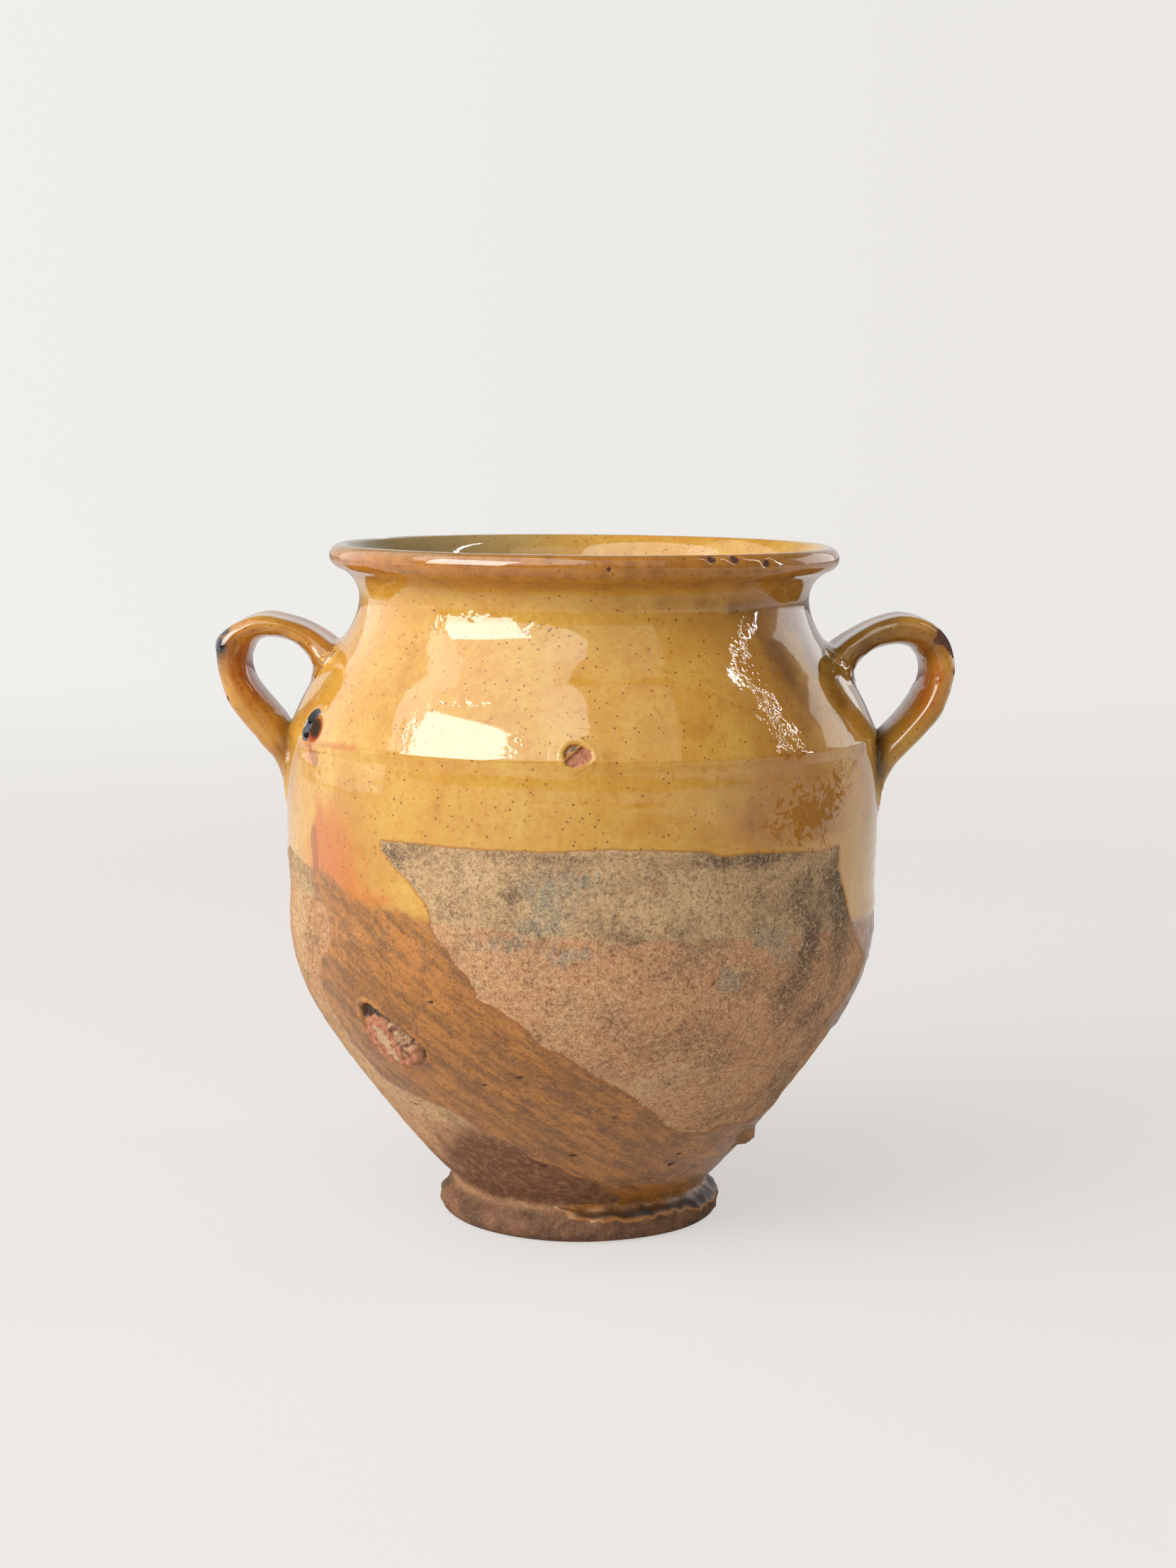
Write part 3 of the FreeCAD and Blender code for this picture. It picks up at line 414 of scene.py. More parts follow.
def marks_on(azimuth, height, reach, wall):
    """What the marks do to the wall: how far they push it out or in, and their fields in
    millimetres inside each outline. The edge of a mark is roughened with ripples."""
    x, y = around(azimuth, reach)
    rough = ripple(x, y, height, 2.6, 41)
    gritty = ripple(x, y, height, 1.3, 42)
    relief, fields = np.zeros(azimuth.shape), {}
    for name, mark in (("scar", scar_mark), ("chip", chip_mark), ("pit", pit_mark)):
        u, v = on_wall(azimuth, height, reach, *MARKS[name][:4])
        pushed, found = mark(u, v, rough, gritty)
        relief += np.where(wall, pushed, 0.0)
        for field, values in found.items():
            values = np.where(wall, np.clip(values, -OUTSIDE, OUTSIDE), -OUTSIDE)
            fields[field] = np.maximum(fields.get(field, -OUTSIDE), values)
    return relief, fields


def wall_relief(azimuth, height, reach, glaze, tone, shelf):
    """How far the wall stands out from the turned profile, from the potter's work on it: turning
    rings, the shelf, the ridge, bubbles under the brown glaze, the lump and the rough area. Also
    returns painted shade under the lump with the lump's own dark brown, and the small pits as a field."""
    a = np.radians(azimuth)
    x, y = around(azimuth, reach)
    rings = 0.6 * np.sin(height * 0.62 + a + 1.4 * np.sin(height * 0.11)) + 0.4 * np.sin(height * 1.13 + a * 2 + 1.0)
    relief = (0.09 - 0.07 * ramp(140, 170, height)) * rings
    relief += 0.36 * ramp(-0.8, 0.8, shelf) * (1 - ramp(0, 26, shelf)) + 0.30 * bell(height - RIDGE_HEIGHT, 1.5)
    bubbles = ramp(1.15, 1.9, ripple(x, y, height, 5.5, 14))
    relief += 0.28 * bubbles * ramp(0.5, 3.0, glaze) * (1 - ramp(-4.0, 2.0, tone))

    u, v = on_wall(azimuth, height, reach, *LUMP_PLACE)
    lump = 1.0 - np.hypot(u / 8.0, v / 3.8)
    relief += 2.7 * ramp(0.0, 0.7, lump) * (1.0 + 0.14 * ripple(x, y, height, 3.0, 15))
    # painted shade under the lump, and the lump's own dark brown on its top
    shade = bell(v + 3.2, 2.0) * ramp(-0.5, 0.0, lump) + 0.8 * ramp(0.5, 0.9, lump)
    u, v = on_wall(azimuth, height, reach, *ROUGH_PLACE)
    relief += 0.42 * bell(u, 10) * bell(v, 6) * (1 + ripple(x, y, height, 4.5, 9))
    u, v = on_wall(azimuth, height, reach, *FOOT_STROKE_PLACE)
    relief += 0.4 * bell(v, 0.6) * ramp(-8.5, -6, u) * (1 - ramp(6, 8.5, u))

    pits = np.full(azimuth.shape, -OUTSIDE)
    for spot, level, size in LOW_PITS:
        u, v = on_wall(azimuth, height, reach, spot, level, 38, 12)
        pit = bell(u, size * 1.5) * bell(v, size * 0.8)
        relief -= 0.5 * pit
        pits = np.maximum(pits, 2.0 * (pit - 0.5))
    return relief, shade, pits


def foot_relief(azimuth, height, reach):
    """How far the foot stands out: a worn, uneven edge, and scratches across the front."""
    x, y = around(azimuth, reach)
    scored = ramp(-14, -9, azimuth) * (1 - ramp(30, 44, azimuth))
    scored *= ramp(0.8, 2.2, height) * (1 - ramp(7.0, 9.0, height))
    return (0.45 * ripple(x, y, height, 11, 5) * ramp(0.5, 4, height)
            + 0.2 * ripple(x, y, height, 4.0, 6) * ramp(0.5, 3, height)
            + 0.17 * scored * ripple(x + 0.8 * height, y, height, 1.7, 7))


def skin(azimuth, reach, height, outside):
    """The fired surface at places on the wall, given by angle, reach and height: how far it stands
    out from the turned profile, and the fields that its colours follow."""
    x, y = around(azimuth, reach)
    clays = [outline_distance(azimuth, height, reach, c) for c in (FRONT_CLAY, LOW_CLAY, BACK_CLAY)]
    foot_edge = line_at(azimuth, FOOT_LINE) - height + 0.35 * ripple(x, y, height, 5.0, 3)
    bare = np.maximum.reduce(clays + [foot_edge])
    bare = np.where(height < FOOT_TOP, foot_edge, bare)
    glaze = np.where(outside, -bare, INDOORS_GLAZE)
    tone = height - line_at(azimuth, TONE_LINE)
    shelf = height - line_at(azimuth, SHELF_LINE)

    wall = outside & (height > WALL_FOOT) & (height < WALL_TOP)
    lip = outside & (height > LIP_FOOT)
    relief = 0.28 * np.cos(2 * np.radians(azimuth) + 0.7) * ramp(10, 90, height) + 0.12 * ripple(x, y, height, 60, 1)
    worked, shade, pits = wall_relief(azimuth, height, reach, glaze, tone, shelf)
    relief += np.where(wall, worked, 0.0)
    bead = 0.30 * ramp(-0.8, 0.8, glaze) + 0.22 * bell(glaze - 1.2, 1.3) * ramp(-1, 0, glaze)
    relief += np.where(outside, bead, 0.0)
    nicked = np.where(wall, pits, -OUTSIDE)
    for spot, level, size, depth in LIP_NICKS:
        u, v = on_wall(azimuth, height, reach, spot, level, 0, 0)
        nick = bell(u, size) * bell(v, size * 0.8)
        relief -= np.where(lip, depth * nick, 0.0)
        nicked = np.maximum(nicked, np.where(lip, 3.0 * (nick - 0.4), -OUTSIDE))
    foot = outside & (height < 12.0) & (reach > 44.0)
    relief += np.where(foot, foot_relief(azimuth, height, reach), 0.0)
    # the raised roll of glaze along its lower edge on the foot
    roll = bell(height - line_at(azimuth, FOOT_LINE) - 1.5, 1.5)
    roll *= ramp(-14, -9, azimuth) * (1 - 0.7 * ramp(30, 60, azimuth)) * (1 - ramp(80, 96, azimuth))
    relief += np.where(outside & (height < 20), 0.8 * roll, 0.0)

    pushed, fields = marks_on(azimuth, height, reach, wall)
    fields.update({"glaze": glaze, "tone": tone, "shelf": shelf, "nicked": nicked})
    # the crease field carries painted shade, here under the lump
    fields["crease"] = np.where(wall, shade, 0.0)
    fields["foot"] = np.where(outside, 1.0 - ramp(8.0, 14.0, height), 0.0)
    fields["rim"] = np.where(outside, ramp(236.5, 241.0, height), 0.0)
    for name, spots in PATCHES.items():
        fields[name] = np.where(outside, patch(azimuth, height, reach, spots), 0.0)
    fields["drip"] = np.maximum(fields["drip"], ramp(-0.1, 0.5, fields.pop("pooled")) * 1.1)
    return relief + pushed, fields


def profile_line():
    """The profile as evenly spaced points, with the direction square to it at each."""
    profile = np.asarray(PROFILE)
    line = through(profile[:, :2], profile[:, 2])
    tangent = np.gradient(line, axis=0)
    tangent /= np.linalg.norm(tangent, axis=1, keepdims=True)
    normal = np.stack([tangent[:, 1], -tangent[:, 0]], axis=1)
    lip = int(np.argmin(np.hypot(*(line - profile[LIP_TOP, :2]).T)))
    return line, normal, lip


def moved_out(azimuth, reach, height, normal_r, normal_z, relief):
    """Points and directions on the turned surface, moved out along its normal by the relief."""
    out_r = np.minimum(reach + relief * normal_r, BODY_REACH)
    out_z = np.clip(height + relief * normal_z, 0.0, HEIGHT)
    place = np.stack([*around(azimuth, out_r), out_z], axis=2)
    way = np.stack([*around(azimuth, normal_r), np.broadcast_to(normal_z, azimuth.shape)], axis=2)
    return place, way


def mark_share(azimuth, height, reach, mark):
    """How far out a place is on a mark's skin: 0 at its middle and 1 at its edge."""
    angle, level, lean, turn, half_u, half_v = mark
    u, v = on_wall(azimuth, height, reach, angle, level, lean, turn)
    return np.hypot(u / half_u, v / half_v)


def body_form(line, normal, lip):
    """The body on a grid: rows along the profile, columns round the axis. A point is the profile's
    point, moved along its normal by the relief, and turned by the column's angle. Under the skin
    of a mark it is sunk out of sight."""
    angle = columns()
    r, z = line[:, :1], line[:, 1:]
    azimuth = np.broadcast_to(angle, (len(line), COLUMNS))
    reach = np.broadcast_to(r, azimuth.shape)
    height = np.broadcast_to(z, azimuth.shape)
    outside = (np.arange(len(line)) <= lip)[:, None] & np.ones((1, COLUMNS), bool)
    relief, fields = skin(azimuth, reach, height, outside)
    for mark in MARKS.values():
        share = mark_share(azimuth, height, reach, mark)
        relief -= np.where(outside & (height > SUNK_FROM), SUNK * (1.0 - ramp(*SUNK_SHARES, share)), 0.0)
    place, way = moved_out(azimuth, reach, height, normal[:, :1], normal[:, 1:], relief)
    inward = (lip - np.arange(len(line)))[:, None] / INDOORS_ROWS
    fields["indoors"] = np.where(outside, -ramp(0, 1, np.broadcast_to(inward, azimuth.shape)), 1.0)
    return place, way, fields, outside


def mark_form(mark, line, normal, lip):
    """The finer skin of a mark: rings from its middle to its edge, where it dips just under the
    body, and back to the middle a little deeper, so that it closes."""
    angle, level, lean, turn, half_u, half_v = mark
    share = np.concatenate([np.linspace(1.0 / MARK_RINGS, 1.0, MARK_RINGS), np.linspace(0.98, 0.06, MARK_BACK_RINGS)])
    share = share[:, None]
    below = np.arange(len(share))[:, None] >= MARK_RINGS
    t = np.linspace(0.0, 2 * math.pi, MARK_COLUMNS, endpoint=False)[None, :]
    u, v = half_u * share * np.cos(t), half_v * share * np.sin(t)
    c, s = math.cos(math.radians(turn)), math.sin(math.radians(turn))
    height = level + (u * s + v * c) * math.cos(math.radians(lean))
    rows = np.flatnonzero((line[: lip + 1, 1] > MARKS_FROM) & (line[: lip + 1, 1] < MARKS_TO))
    reach = np.interp(height, line[rows, 1], line[rows, 0])
    normal_r = np.interp(height, line[rows, 1], normal[rows, 0])
    normal_z = np.interp(height, line[rows, 1], normal[rows, 1])
    azimuth = angle + np.degrees((u * c - v * s) / reach)
    relief, fields = skin(azimuth, reach, height, np.ones(azimuth.shape, bool))
    relief = relief + np.where(below, MARK_BACK, MARK_PROUD - MARK_DIP * ramp(0.96, 1.0, share))
    place, _ = moved_out(azimuth, reach, height, normal_r, normal_z, relief)
    fields["indoors"] = np.full(azimuth.shape, -1.0)
    return place, fields


# ---- The strap handles ----

# For each handle: points of its outer edge and inner edge in pairs, reach and height in
# millimetres, from the root on the shoulder over the arch to the tip on the wall,
# with half the strap's width there
RIGHT_EDGES = (
    (83.0, 207.0, 90.0, 194.0, 23.0), (91.5, 214.6, 97.4, 200.6, 21.0), (98.4, 219.2, 101.4, 207.6, 18.6),
    (107.4, 223.9, 106.9, 212.3, 17.6), (117.4, 226.3, 115.2, 214.3, 17.3), (127.4, 223.8, 120.8, 212.8, 17.2),
    (134.0, 217.4, 123.6, 208.8, 17.2), (136.7, 208.4, 124.3, 204.2, 17.3), (136.2, 201.4, 123.3, 199.4, 17.4),
    (132.6, 189.8, 121.0, 195.2, 17.4), (127.0, 182.4, 117.2, 189.6, 17.5), (121.5, 176.4, 112.8, 184.6, 17.8),
    (115.9, 170.2, 107.8, 179.0, 18.2), (111.6, 162.6, 105.2, 170.6, 18.2), (109.6, 153.6, 104.2, 160.0, 16.4),
    (107.2, 147.0, 103.4, 151.0, 12.0),
)
LEFT_EDGES = (
    (83.0, 207.0, 90.0, 194.0, 23.0), (91.5, 214.8, 97.2, 200.2, 21.0), (100.4, 220.0, 101.2, 208.2, 18.4),
    (109.4, 223.2, 106.8, 213.4, 17.6), (118.6, 224.6, 114.8, 215.3, 17.4), (128.4, 221.2, 119.4, 213.9, 17.2),
    (135.0, 215.6, 122.2, 209.8, 17.2), (135.3, 209.2, 123.0, 205.2, 17.2), (134.4, 201.4, 121.4, 200.2, 17.3),
    (131.4, 192.2, 117.4, 194.4, 17.4), (126.2, 184.6, 113.0, 189.0, 17.5), (119.8, 176.8, 109.0, 183.6, 17.8),
    (113.6, 169.6, 106.4, 177.0, 18.2), (110.4, 162.0, 104.8, 169.4, 18.0), (109.0, 154.0, 104.0, 160.0, 16.4),
    (107.0, 147.0, 103.4, 151.0, 12.0),
)
# Marks on the handles: a place in millimetres and how far the mark reaches each way
HANDLE_SPOTS = {
    "right": {
        "nicked": (
            (131.0, -15.0, 218.0, 4.6, 5.0, 3.6), (134.5, -14.5, 213.5, 3.4, 5.0, 3.4),
            (137.0, -15.5, 204.0, 2.4, 4.0, 6.0), (135.4, -15.5, 196.0, 2.0, 4.0, 4.0),
            (132.6, -15.6, 190.0, 1.8, 4.0, 3.0),
        ),
    },
    "left": {
        "nicked": ((-130.0, -15.0, 193.0, 1.0, 2.0, 1.6),),
        "blackened": ((-136.5, -16.0, 212.5, 7.4, 12.0, 8.0), (-132.5, -15.0, 218.5, 4.6, 7.0, 3.4)),
    },
}
# How much browner each handle is from its root to the arch, and at its elbow
DEEP_HANDLES = {"right": (0.45, 0.2), "left": (0.0, 0.4)}
# How strong the painted shade is in the crease where each handle meets the wall
CREASE_SHADE_STRENGTH = {"right": 1.0, "left": 0.35}
# Marks that only the body carries
HANDLE_BLANKS = ("broken", "nicked", "pitted", "torn", "blackened", "cream", "soot", "glint", "stony")
ROUND_STEPS = 84
STRAP_STEP = 1.25
SIGNS = {"right": 1, "left": -1}
JOINT_FOOT, JOINT_SIDE = 135.0, 60.0  # a handle meets the wall only above this height and beyond this x
JOINT_TURNS = 14  # how often the filling of a joint is bettered
JOINT_REACH = 5.0  # the farthest that it moves a point


def section():
    """The strap's section on unit axes: a rounded box, hollowed along its outer face between two
    ribs, with an inner face that bulges and is narrower."""
    t = np.linspace(0.0, 2 * math.pi, ROUND_STEPS, endpoint=False)
    across = np.sign(np.cos(t)) * np.abs(np.cos(t)) ** 0.62
    deep = np.sign(np.sin(t)) * np.abs(np.sin(t)) ** 0.72
    outer = deep > 0
    channel = 0.24 * np.clip(1.0 - (across / 0.82) ** 2, 0.0, 1.0) ** 1.3
    deep = np.where(outer, deep - channel, deep * (1.0 - 0.16 * across ** 2))
    across = np.where(outer, across, across * (1.0 - 0.13 * np.abs(deep)))
    return across, deep


def strap_form(edges, side, seed):
    """A strap: its section carried along the path midway between the outer and inner edges, with
    its depth the distance between them. Returns the grid and what its distance is found from."""
    e = np.asarray(edges)
    middle = (e[:, :2] + e[:, 2:4]) / 2
    lengths = np.hypot(*np.diff(middle, axis=0).T)
    counts = np.maximum(1, np.round(lengths / STRAP_STEP)).astype(int)
    share = [np.linspace(i, i + 1, n, endpoint=False) for i, n in enumerate(counts)]
    share = np.concatenate(share + [[len(e) - 1.0]])
    slope = np.gradient(e, axis=0)
    i = np.clip(share.astype(int), 0, len(e) - 2)
    smooth = cubic(e, slope, i, (share - i)[:, None])
    outer, inner, half_width = smooth[:, :2], smooth[:, 2:4], smooth[:, 4:5]
    centre = (outer + inner) / 2
    out = outer - inner
    half_depth = np.linalg.norm(out, axis=1, keepdims=True) / 2
    out = out / (2 * half_depth)
    across, deep = (axis[None, :] for axis in section())
    run = np.broadcast_to((share / (len(e) - 1))[:, None], (len(share), ROUND_STEPS))
    wobble = 0.35 * ripple(run * 150, deep * 8, across * 12, 34, seed)
    depth = half_depth * deep + wobble * np.sign(deep) * 0.5
    width = half_width * across + 0.25 * ripple(run * 150, deep * 4, 0 * deep, 28, seed + 1)
    place = np.stack([side * (centre[:, :1] + out[:, :1] * depth), width, centre[:, 1:] + out[:, 1:] * depth], axis=2)
    return SimpleNamespace(place=place, centre=centre, out=out, half_depth=half_depth, half_width=half_width,
                           run=run, across=across[0], deep=deep[0])


def spot_field(points, spots):
    """How far inside the nearest egg-shaped mark a point lies: 1 at its middle, 0 at its edge."""
    best = np.full(points.shape[:-1], -OUTSIDE)
    for spot in spots:
        far = np.linalg.norm((points - spot[:3]) / spot[3:], axis=-1)
        best = np.maximum(best, 1.0 - far)
    return best


def strap_distance(points, side, strap):
    """Distance in millimetres outside a strap's surface, less than zero inside: found across the
    section at the nearest place of its path."""
    centre, out = strap.centre, strap.out
    flat = points.reshape(-1, 3)
    x, y, z = side * flat[:, 0], flat[:, 1], flat[:, 2]
    gap = (x[:, None] - centre[None, :, 0]) ** 2 + (z[:, None] - centre[None, :, 1]) ** 2
    near = np.argmin(gap, axis=1)
    half_depth, half_width = strap.half_depth[near, 0], strap.half_width[near, 0]
    b = (x - centre[near, 0]) * out[near, 0] + (z - centre[near, 1]) * out[near, 1]
    spill = np.sqrt(np.maximum(gap[np.arange(len(near)), near] - b ** 2, 0.0))
    turn = np.arctan2(b / half_depth, y / half_width)
    key = np.arctan2(strap.deep, strap.across)
    order = np.argsort(key)
    rim = np.interp(turn, key[order], np.hypot(strap.across, strap.deep)[order], period=2 * math.pi)
    size = np.hypot(b / half_depth, y / half_width)
    length = np.hypot(b, y) / np.maximum(size, 1e-6)
    inside = (size - rim) * length
    beyond = np.hypot(np.maximum(inside, 0.0), spill)
    return np.where(spill > 1.2, beyond, inside).reshape(points.shape[:-1])


def wall_distance(points, line):
    """Distance in millimetres outside the turned wall: the reach beyond the profile there, times
    the cosine of its slope."""
    height = points[..., 2]
    rows = line[:, 1] > WALL_FOOT
    z, r = line[rows, 1], line[rows, 0]
    top = np.argmax(z)
    z, r = z[: top + 1], r[: top + 1]
    order = np.argsort(z, kind="stable")
    z, r = z[order], r[order]
    slope = np.gradient(r, z + np.arange(len(z)) * 1e-7)
    reach = np.interp(height, z, r)
    lean = np.interp(height, z, slope)
    return (np.hypot(points[..., 0], points[..., 1]) - reach) / np.sqrt(1.0 + lean ** 2)


def blend_depth(height):
    """How widely a strap is smoothed into the wall: broad at the root, close at the tip."""
    return 2.6 + 6.0 * ramp(186.0, 204.0, height)


def melted(first, second, depth):
    """The smaller of two distances, with the crease between them filled by a smooth curve."""
    share = np.clip(depth - np.abs(first - second), 0.0, None) / depth
    return np.minimum(first, second) - share ** 2 * depth / 4


def fill_joint(place, way, own, other):
    """Moves points outward until they lie on the smoothed joint of two surfaces. Points that the
    other surface already covers stay behind it."""
    cover = other(place)
    shift = np.zeros(place.shape[:-1])
    depth = blend_depth(place[..., 2])
    for _ in range(JOINT_TURNS):
        here = place + way * shift[..., None]
        shift = np.clip(shift - 0.7 * melted(own(here), other(here), depth), 0.0, JOINT_REACH)
    shift *= ramp(-2.4, -0.6, cover)
    return place + way * shift[..., None]


def outward(place):
    """Directions square to a grid that closes on itself across its columns."""
    along = np.gradient(place, axis=0)
    round_way = np.roll(place, -1, axis=1) - np.roll(place, 1, axis=1)
    way = np.cross(round_way, along)
    return way / np.maximum(np.linalg.norm(way, axis=2, keepdims=True), 1e-9)


# ---- Meshes ----


def closed_mesh(name, place, fields, flip):
    """A mesh from a grid of rows and columns that closes across its columns, with a point in the
    middle of its first and last row. Each field becomes an attribute of the points."""
    rows, cols = place.shape[:2]
    ends = np.stack([place[0].mean(axis=0), place[-1].mean(axis=0)])
    points = np.concatenate([place.reshape(-1, 3), ends]) * MM
    index = np.arange(rows * cols).reshape(rows, cols)
    after = np.roll(index, -1, axis=1)
    quads = np.stack([index[:-1], after[:-1], after[1:], index[1:]], axis=2).reshape(-1, 4)
    first = np.full(cols, rows * cols)
    low = np.stack([after[0], index[0], first], axis=1)
    high = np.stack([index[-1], after[-1], first + 1], axis=1)
    if flip:
        quads, low, high = quads[:, ::-1], low[:, ::-1], high[:, ::-1]
    mesh = bpy.data.meshes.new(name)
    corners = np.concatenate([quads.ravel(), low.ravel(), high.ravel()]).astype(np.int32)
    sizes = np.concatenate([np.full(len(quads), 4), np.full(2 * cols, 3)]).astype(np.int32)
    mesh.vertices.add(len(points))
    mesh.vertices.foreach_set("co", points.ravel().astype(np.float32))
    mesh.loops.add(len(corners))
    mesh.loops.foreach_set("vertex_index", corners)
    mesh.polygons.add(len(sizes))
    mesh.polygons.foreach_set("loop_start", np.concatenate([[0], np.cumsum(sizes)[:-1]]).astype(np.int32))
    mesh.update(calc_edges=True)
    mesh.polygons.foreach_set("use_smooth", np.ones(len(sizes), bool))
    for field, values in fields.items():
        data = mesh.attributes.new(field, "FLOAT", "POINT")
        values = np.broadcast_to(values, (rows, cols))
        values = np.concatenate([values.ravel(), [values[0].mean(), values[-1].mean()]])
        data.data.foreach_set("value", values.astype(np.float32))
    mesh.validate()
    piece = bpy.data.objects.new(name, mesh)
    bpy.context.scene.collection.objects.link(piece)
    return piece


# ---- Shader maths ----


def tint(red, green, blue):
    """A linear colour from the usual 0 to 255 levels."""
    level = np.array([red, green, blue]) / 255.0
    linear = np.where(level <= 0.04045, level / 12.92, ((level + 0.055) / 1.055) ** 2.4)
    return (*[float(v) for v in linear], 1.0)


class Wire:
    """A shader socket whose operators add Math nodes."""

    def __init__(self, paint, socket):
        self.paint = paint
        self.socket = socket

    def maths(self, operation, *others, clamp=False):
        settings = {"operation": operation, "use_clamp": clamp}
        return self.paint.node("ShaderNodeMath", settings, *[self, *others])

    def __add__(self, other):
        return self.maths("ADD", other)

    def __sub__(self, other):
        return self.maths("SUBTRACT", other)

    def __mul__(self, other):
        return self.maths("MULTIPLY", other)

    def __truediv__(self, other):
        return self.maths("DIVIDE", other)

    def __rsub__(self, other):
        return self.paint.node("ShaderNodeMath", {"operation": "SUBTRACT"}, other, self)

    def __gt__(self, other):
        return self.maths("GREATER_THAN", other)

    def __lt__(self, other):
        return self.maths("LESS_THAN", other)

    __radd__ = __add__
    __rmul__ = __mul__

    def top(self, other):
        return self.maths("MAXIMUM", other)

    def clip(self):
        """The value held between 0 and 1."""
        return self.maths("ADD", 0.0, clamp=True)

    def above(self, level, gain):
        """How far the value is over a level, times a gain."""
        return (self - level).clip() * gain

    def below(self, level, gain):
        """How far the value is under a level, times a gain."""
        return (level - self).clip() * gain

    def step(self, low, high):
        """0 below low, 1 above high, smooth between."""
        settings = {"interpolation_type": "SMOOTHSTEP"}
        return self.paint.node("ShaderNodeMapRange", settings, self, low, high, 0.0, 1.0)


class Paint:
    """A material's node tree, with one method that adds any node."""

    def __init__(self, tree):
        self.tree = tree
        tree.nodes.clear()

    def node(self, kind, settings=None, *values, out=0, **named):
        """Adds a node: its settings first, then its inputs in order or by name."""
        node = self.tree.nodes.new(kind)
        for key, value in (settings or {}).items():
            setattr(node, key, value)
        inputs = list(enumerate(values)) + [(key.replace("_", " "), value) for key, value in named.items()]
        for key, value in inputs:
            if value is None:
                continue
            socket = node.inputs[key]
            if isinstance(value, Wire):
                self.tree.links.new(value.socket, socket)
            else:
                socket.default_value = value
        return Wire(self, node.outputs[out]) if node.outputs else node

    def field(self, name):
        """A value stored on the piece's points."""
        return self.node("ShaderNodeAttribute", {"attribute_name": name, "attribute_type": "GEOMETRY"}, out="Fac")

    def place(self):
        """The place on the piece in metres."""
        return self.node("ShaderNodeTexCoord", None, out="Object")

    def stretched(self, x, y, z, lean=0.0):
        """The place on the piece, leant in the plane seen from the front, then each way scaled."""
        turned = self.node("ShaderNodeMapping", None, self.place(), Rotation=(0.0, math.radians(lean), 0.0))
        return self.node("ShaderNodeMapping", None, turned, Scale=(x, y, z))

    def noise(self, scale, detail=2.0, rough=0.5, where=None, distort=0.0):
        """Cloudy noise about 0.5, cells per metre given by the scale."""
        return self.node("ShaderNodeTexNoise", None, Vector=where or self.place(), Scale=scale,
                         Detail=detail, Roughness=rough, Distortion=distort, out="Fac")

    def cells(self, scale, out="Distance"):
        """Distance to the nearest seed point, or its random colour."""
        return self.node("ShaderNodeTexVoronoi", {"feature": "F1"}, Vector=self.place(), Scale=scale, out=out)

    def edged(self, name, noise, low, high):
        """A field moved by a noise, then brought to 0 at low and 1 at high."""
        return (self.field(name) + noise).step(low, high)

    def mix(self, share, first, second):
        """A share of the second colour over the first. The node's colour sockets are 6, 7 and 2."""
        values = (share, None, None, None, None, None, first, second)
        return self.node("ShaderNodeMix", {"data_type": "RGBA"}, *values, out=2)

    def over(self, colour, *layers):
        """A colour with layers laid over it in turn, each a share and a colour."""
        for share, layer in layers:
            colour = self.mix(share, colour, layer)
        return colour

    def axis(self, name, where=None):
        """One coordinate of the place on the piece, or of another direction."""
        return self.node("ShaderNodeSeparateXYZ", None, where or self.place(), out=name)

    def ray(self, kind):
        """1 for rays from the camera, or for rays mirrored in a glossy face."""
        return self.node("ShaderNodeLightPath", None, out="Is " + kind + " Ray")

    def glow(self, kind, colour, strength=1.0):
        """A surface or surroundings that shine by themselves."""
        return self.node("ShaderNode" + kind, None, Color=colour, Strength=strength)

    def blend(self, share, first, second):
        """A share of the second shader over the first."""
        return self.node("ShaderNodeMixShader", None, share, first, second)


YELLOW = tint(197, 146, 60)
YELLOW_DEEP = tint(187, 128, 42)
YELLOW_PALE = tint(204, 167, 82)
AMBER = tint(166, 106, 34)
AMBER_DEEP = tint(146, 80, 20)
AMBER_GLOW = tint(186, 118, 30)
RAGGED_AMBER = tint(160, 104, 34)
FLUSH = tint(186, 92, 28)
# dark amber glaze, also used as painted shade on the right side
DEEP_GLAZE_AND_SHADE = tint(104, 66, 24)
INNER_GREEN = tint(136, 124, 88)
RIM_BROWN = tint(128, 74, 26)
RIM_AMBER = tint(168, 106, 38)
SPECK = tint(116, 62, 26)
# the colour of the painted shade in creases
CREASE_SHADE = tint(70, 38, 18)
BROWN = tint(170, 107, 38)
BROWN_GOLD = tint(190, 122, 42)
BROWN_DEEP = tint(100, 56, 18)
BROWN_DULL = tint(138, 89, 31)
CLAY_GREY = tint(180, 146, 104)
CLAY_PINK = tint(187, 133, 91)
CLAY_LIGHT = tint(202, 169, 124)
CLAY_DARK = tint(82, 64, 48)
CLAY_SHADE = tint(86, 62, 42)
CLAY_BLUE = tint(128, 128, 112)
CLAY_RUST = tint(166, 112, 80)
CLAY_UMBER = tint(96, 56, 32)
FOOT_DARK = tint(72, 48, 33)
FOOT_RED = tint(138, 94, 66)
FOOT_GLAZE = tint(54, 34, 18)
TERRACOTTA = tint(158, 98, 70)
SALMON = tint(196, 138, 106)
CREAM = tint(184, 160, 124)
# dark glaze and painted shade in hollows
HOLLOW_DARK_AND_SHADE = tint(56, 38, 26)
GLINT = tint(190, 70, 22)
NICK = tint(84, 48, 32)
# near black: painted shade deep in the hole
PIT_SHADE = tint(26, 12, 6)
PIT_RED = tint(150, 52, 8)
BLACK_GLAZE = tint(22, 20, 28)

# Noises that several colours share: cells per metre, detail and roughness
NOISES = {
    "broad": (34.0, 3.0, 0.55), "blotch": (46.0, 5.0, 0.68), "cloud": (90.0, 4.0, 0.6),
    "mottle": (170.0, 4.0, 0.6), "flecks": (240.0, 4.0, 0.75), "edge": (260.0, 4.0, 0.62),
    "flesh": (420.0, 4.0, 0.65), "sand": (430.0, 3.0, 0.7), "fine": (900.0, 3.0, 0.6),
    "grain": (1900.0, 2.0, 0.6),
}
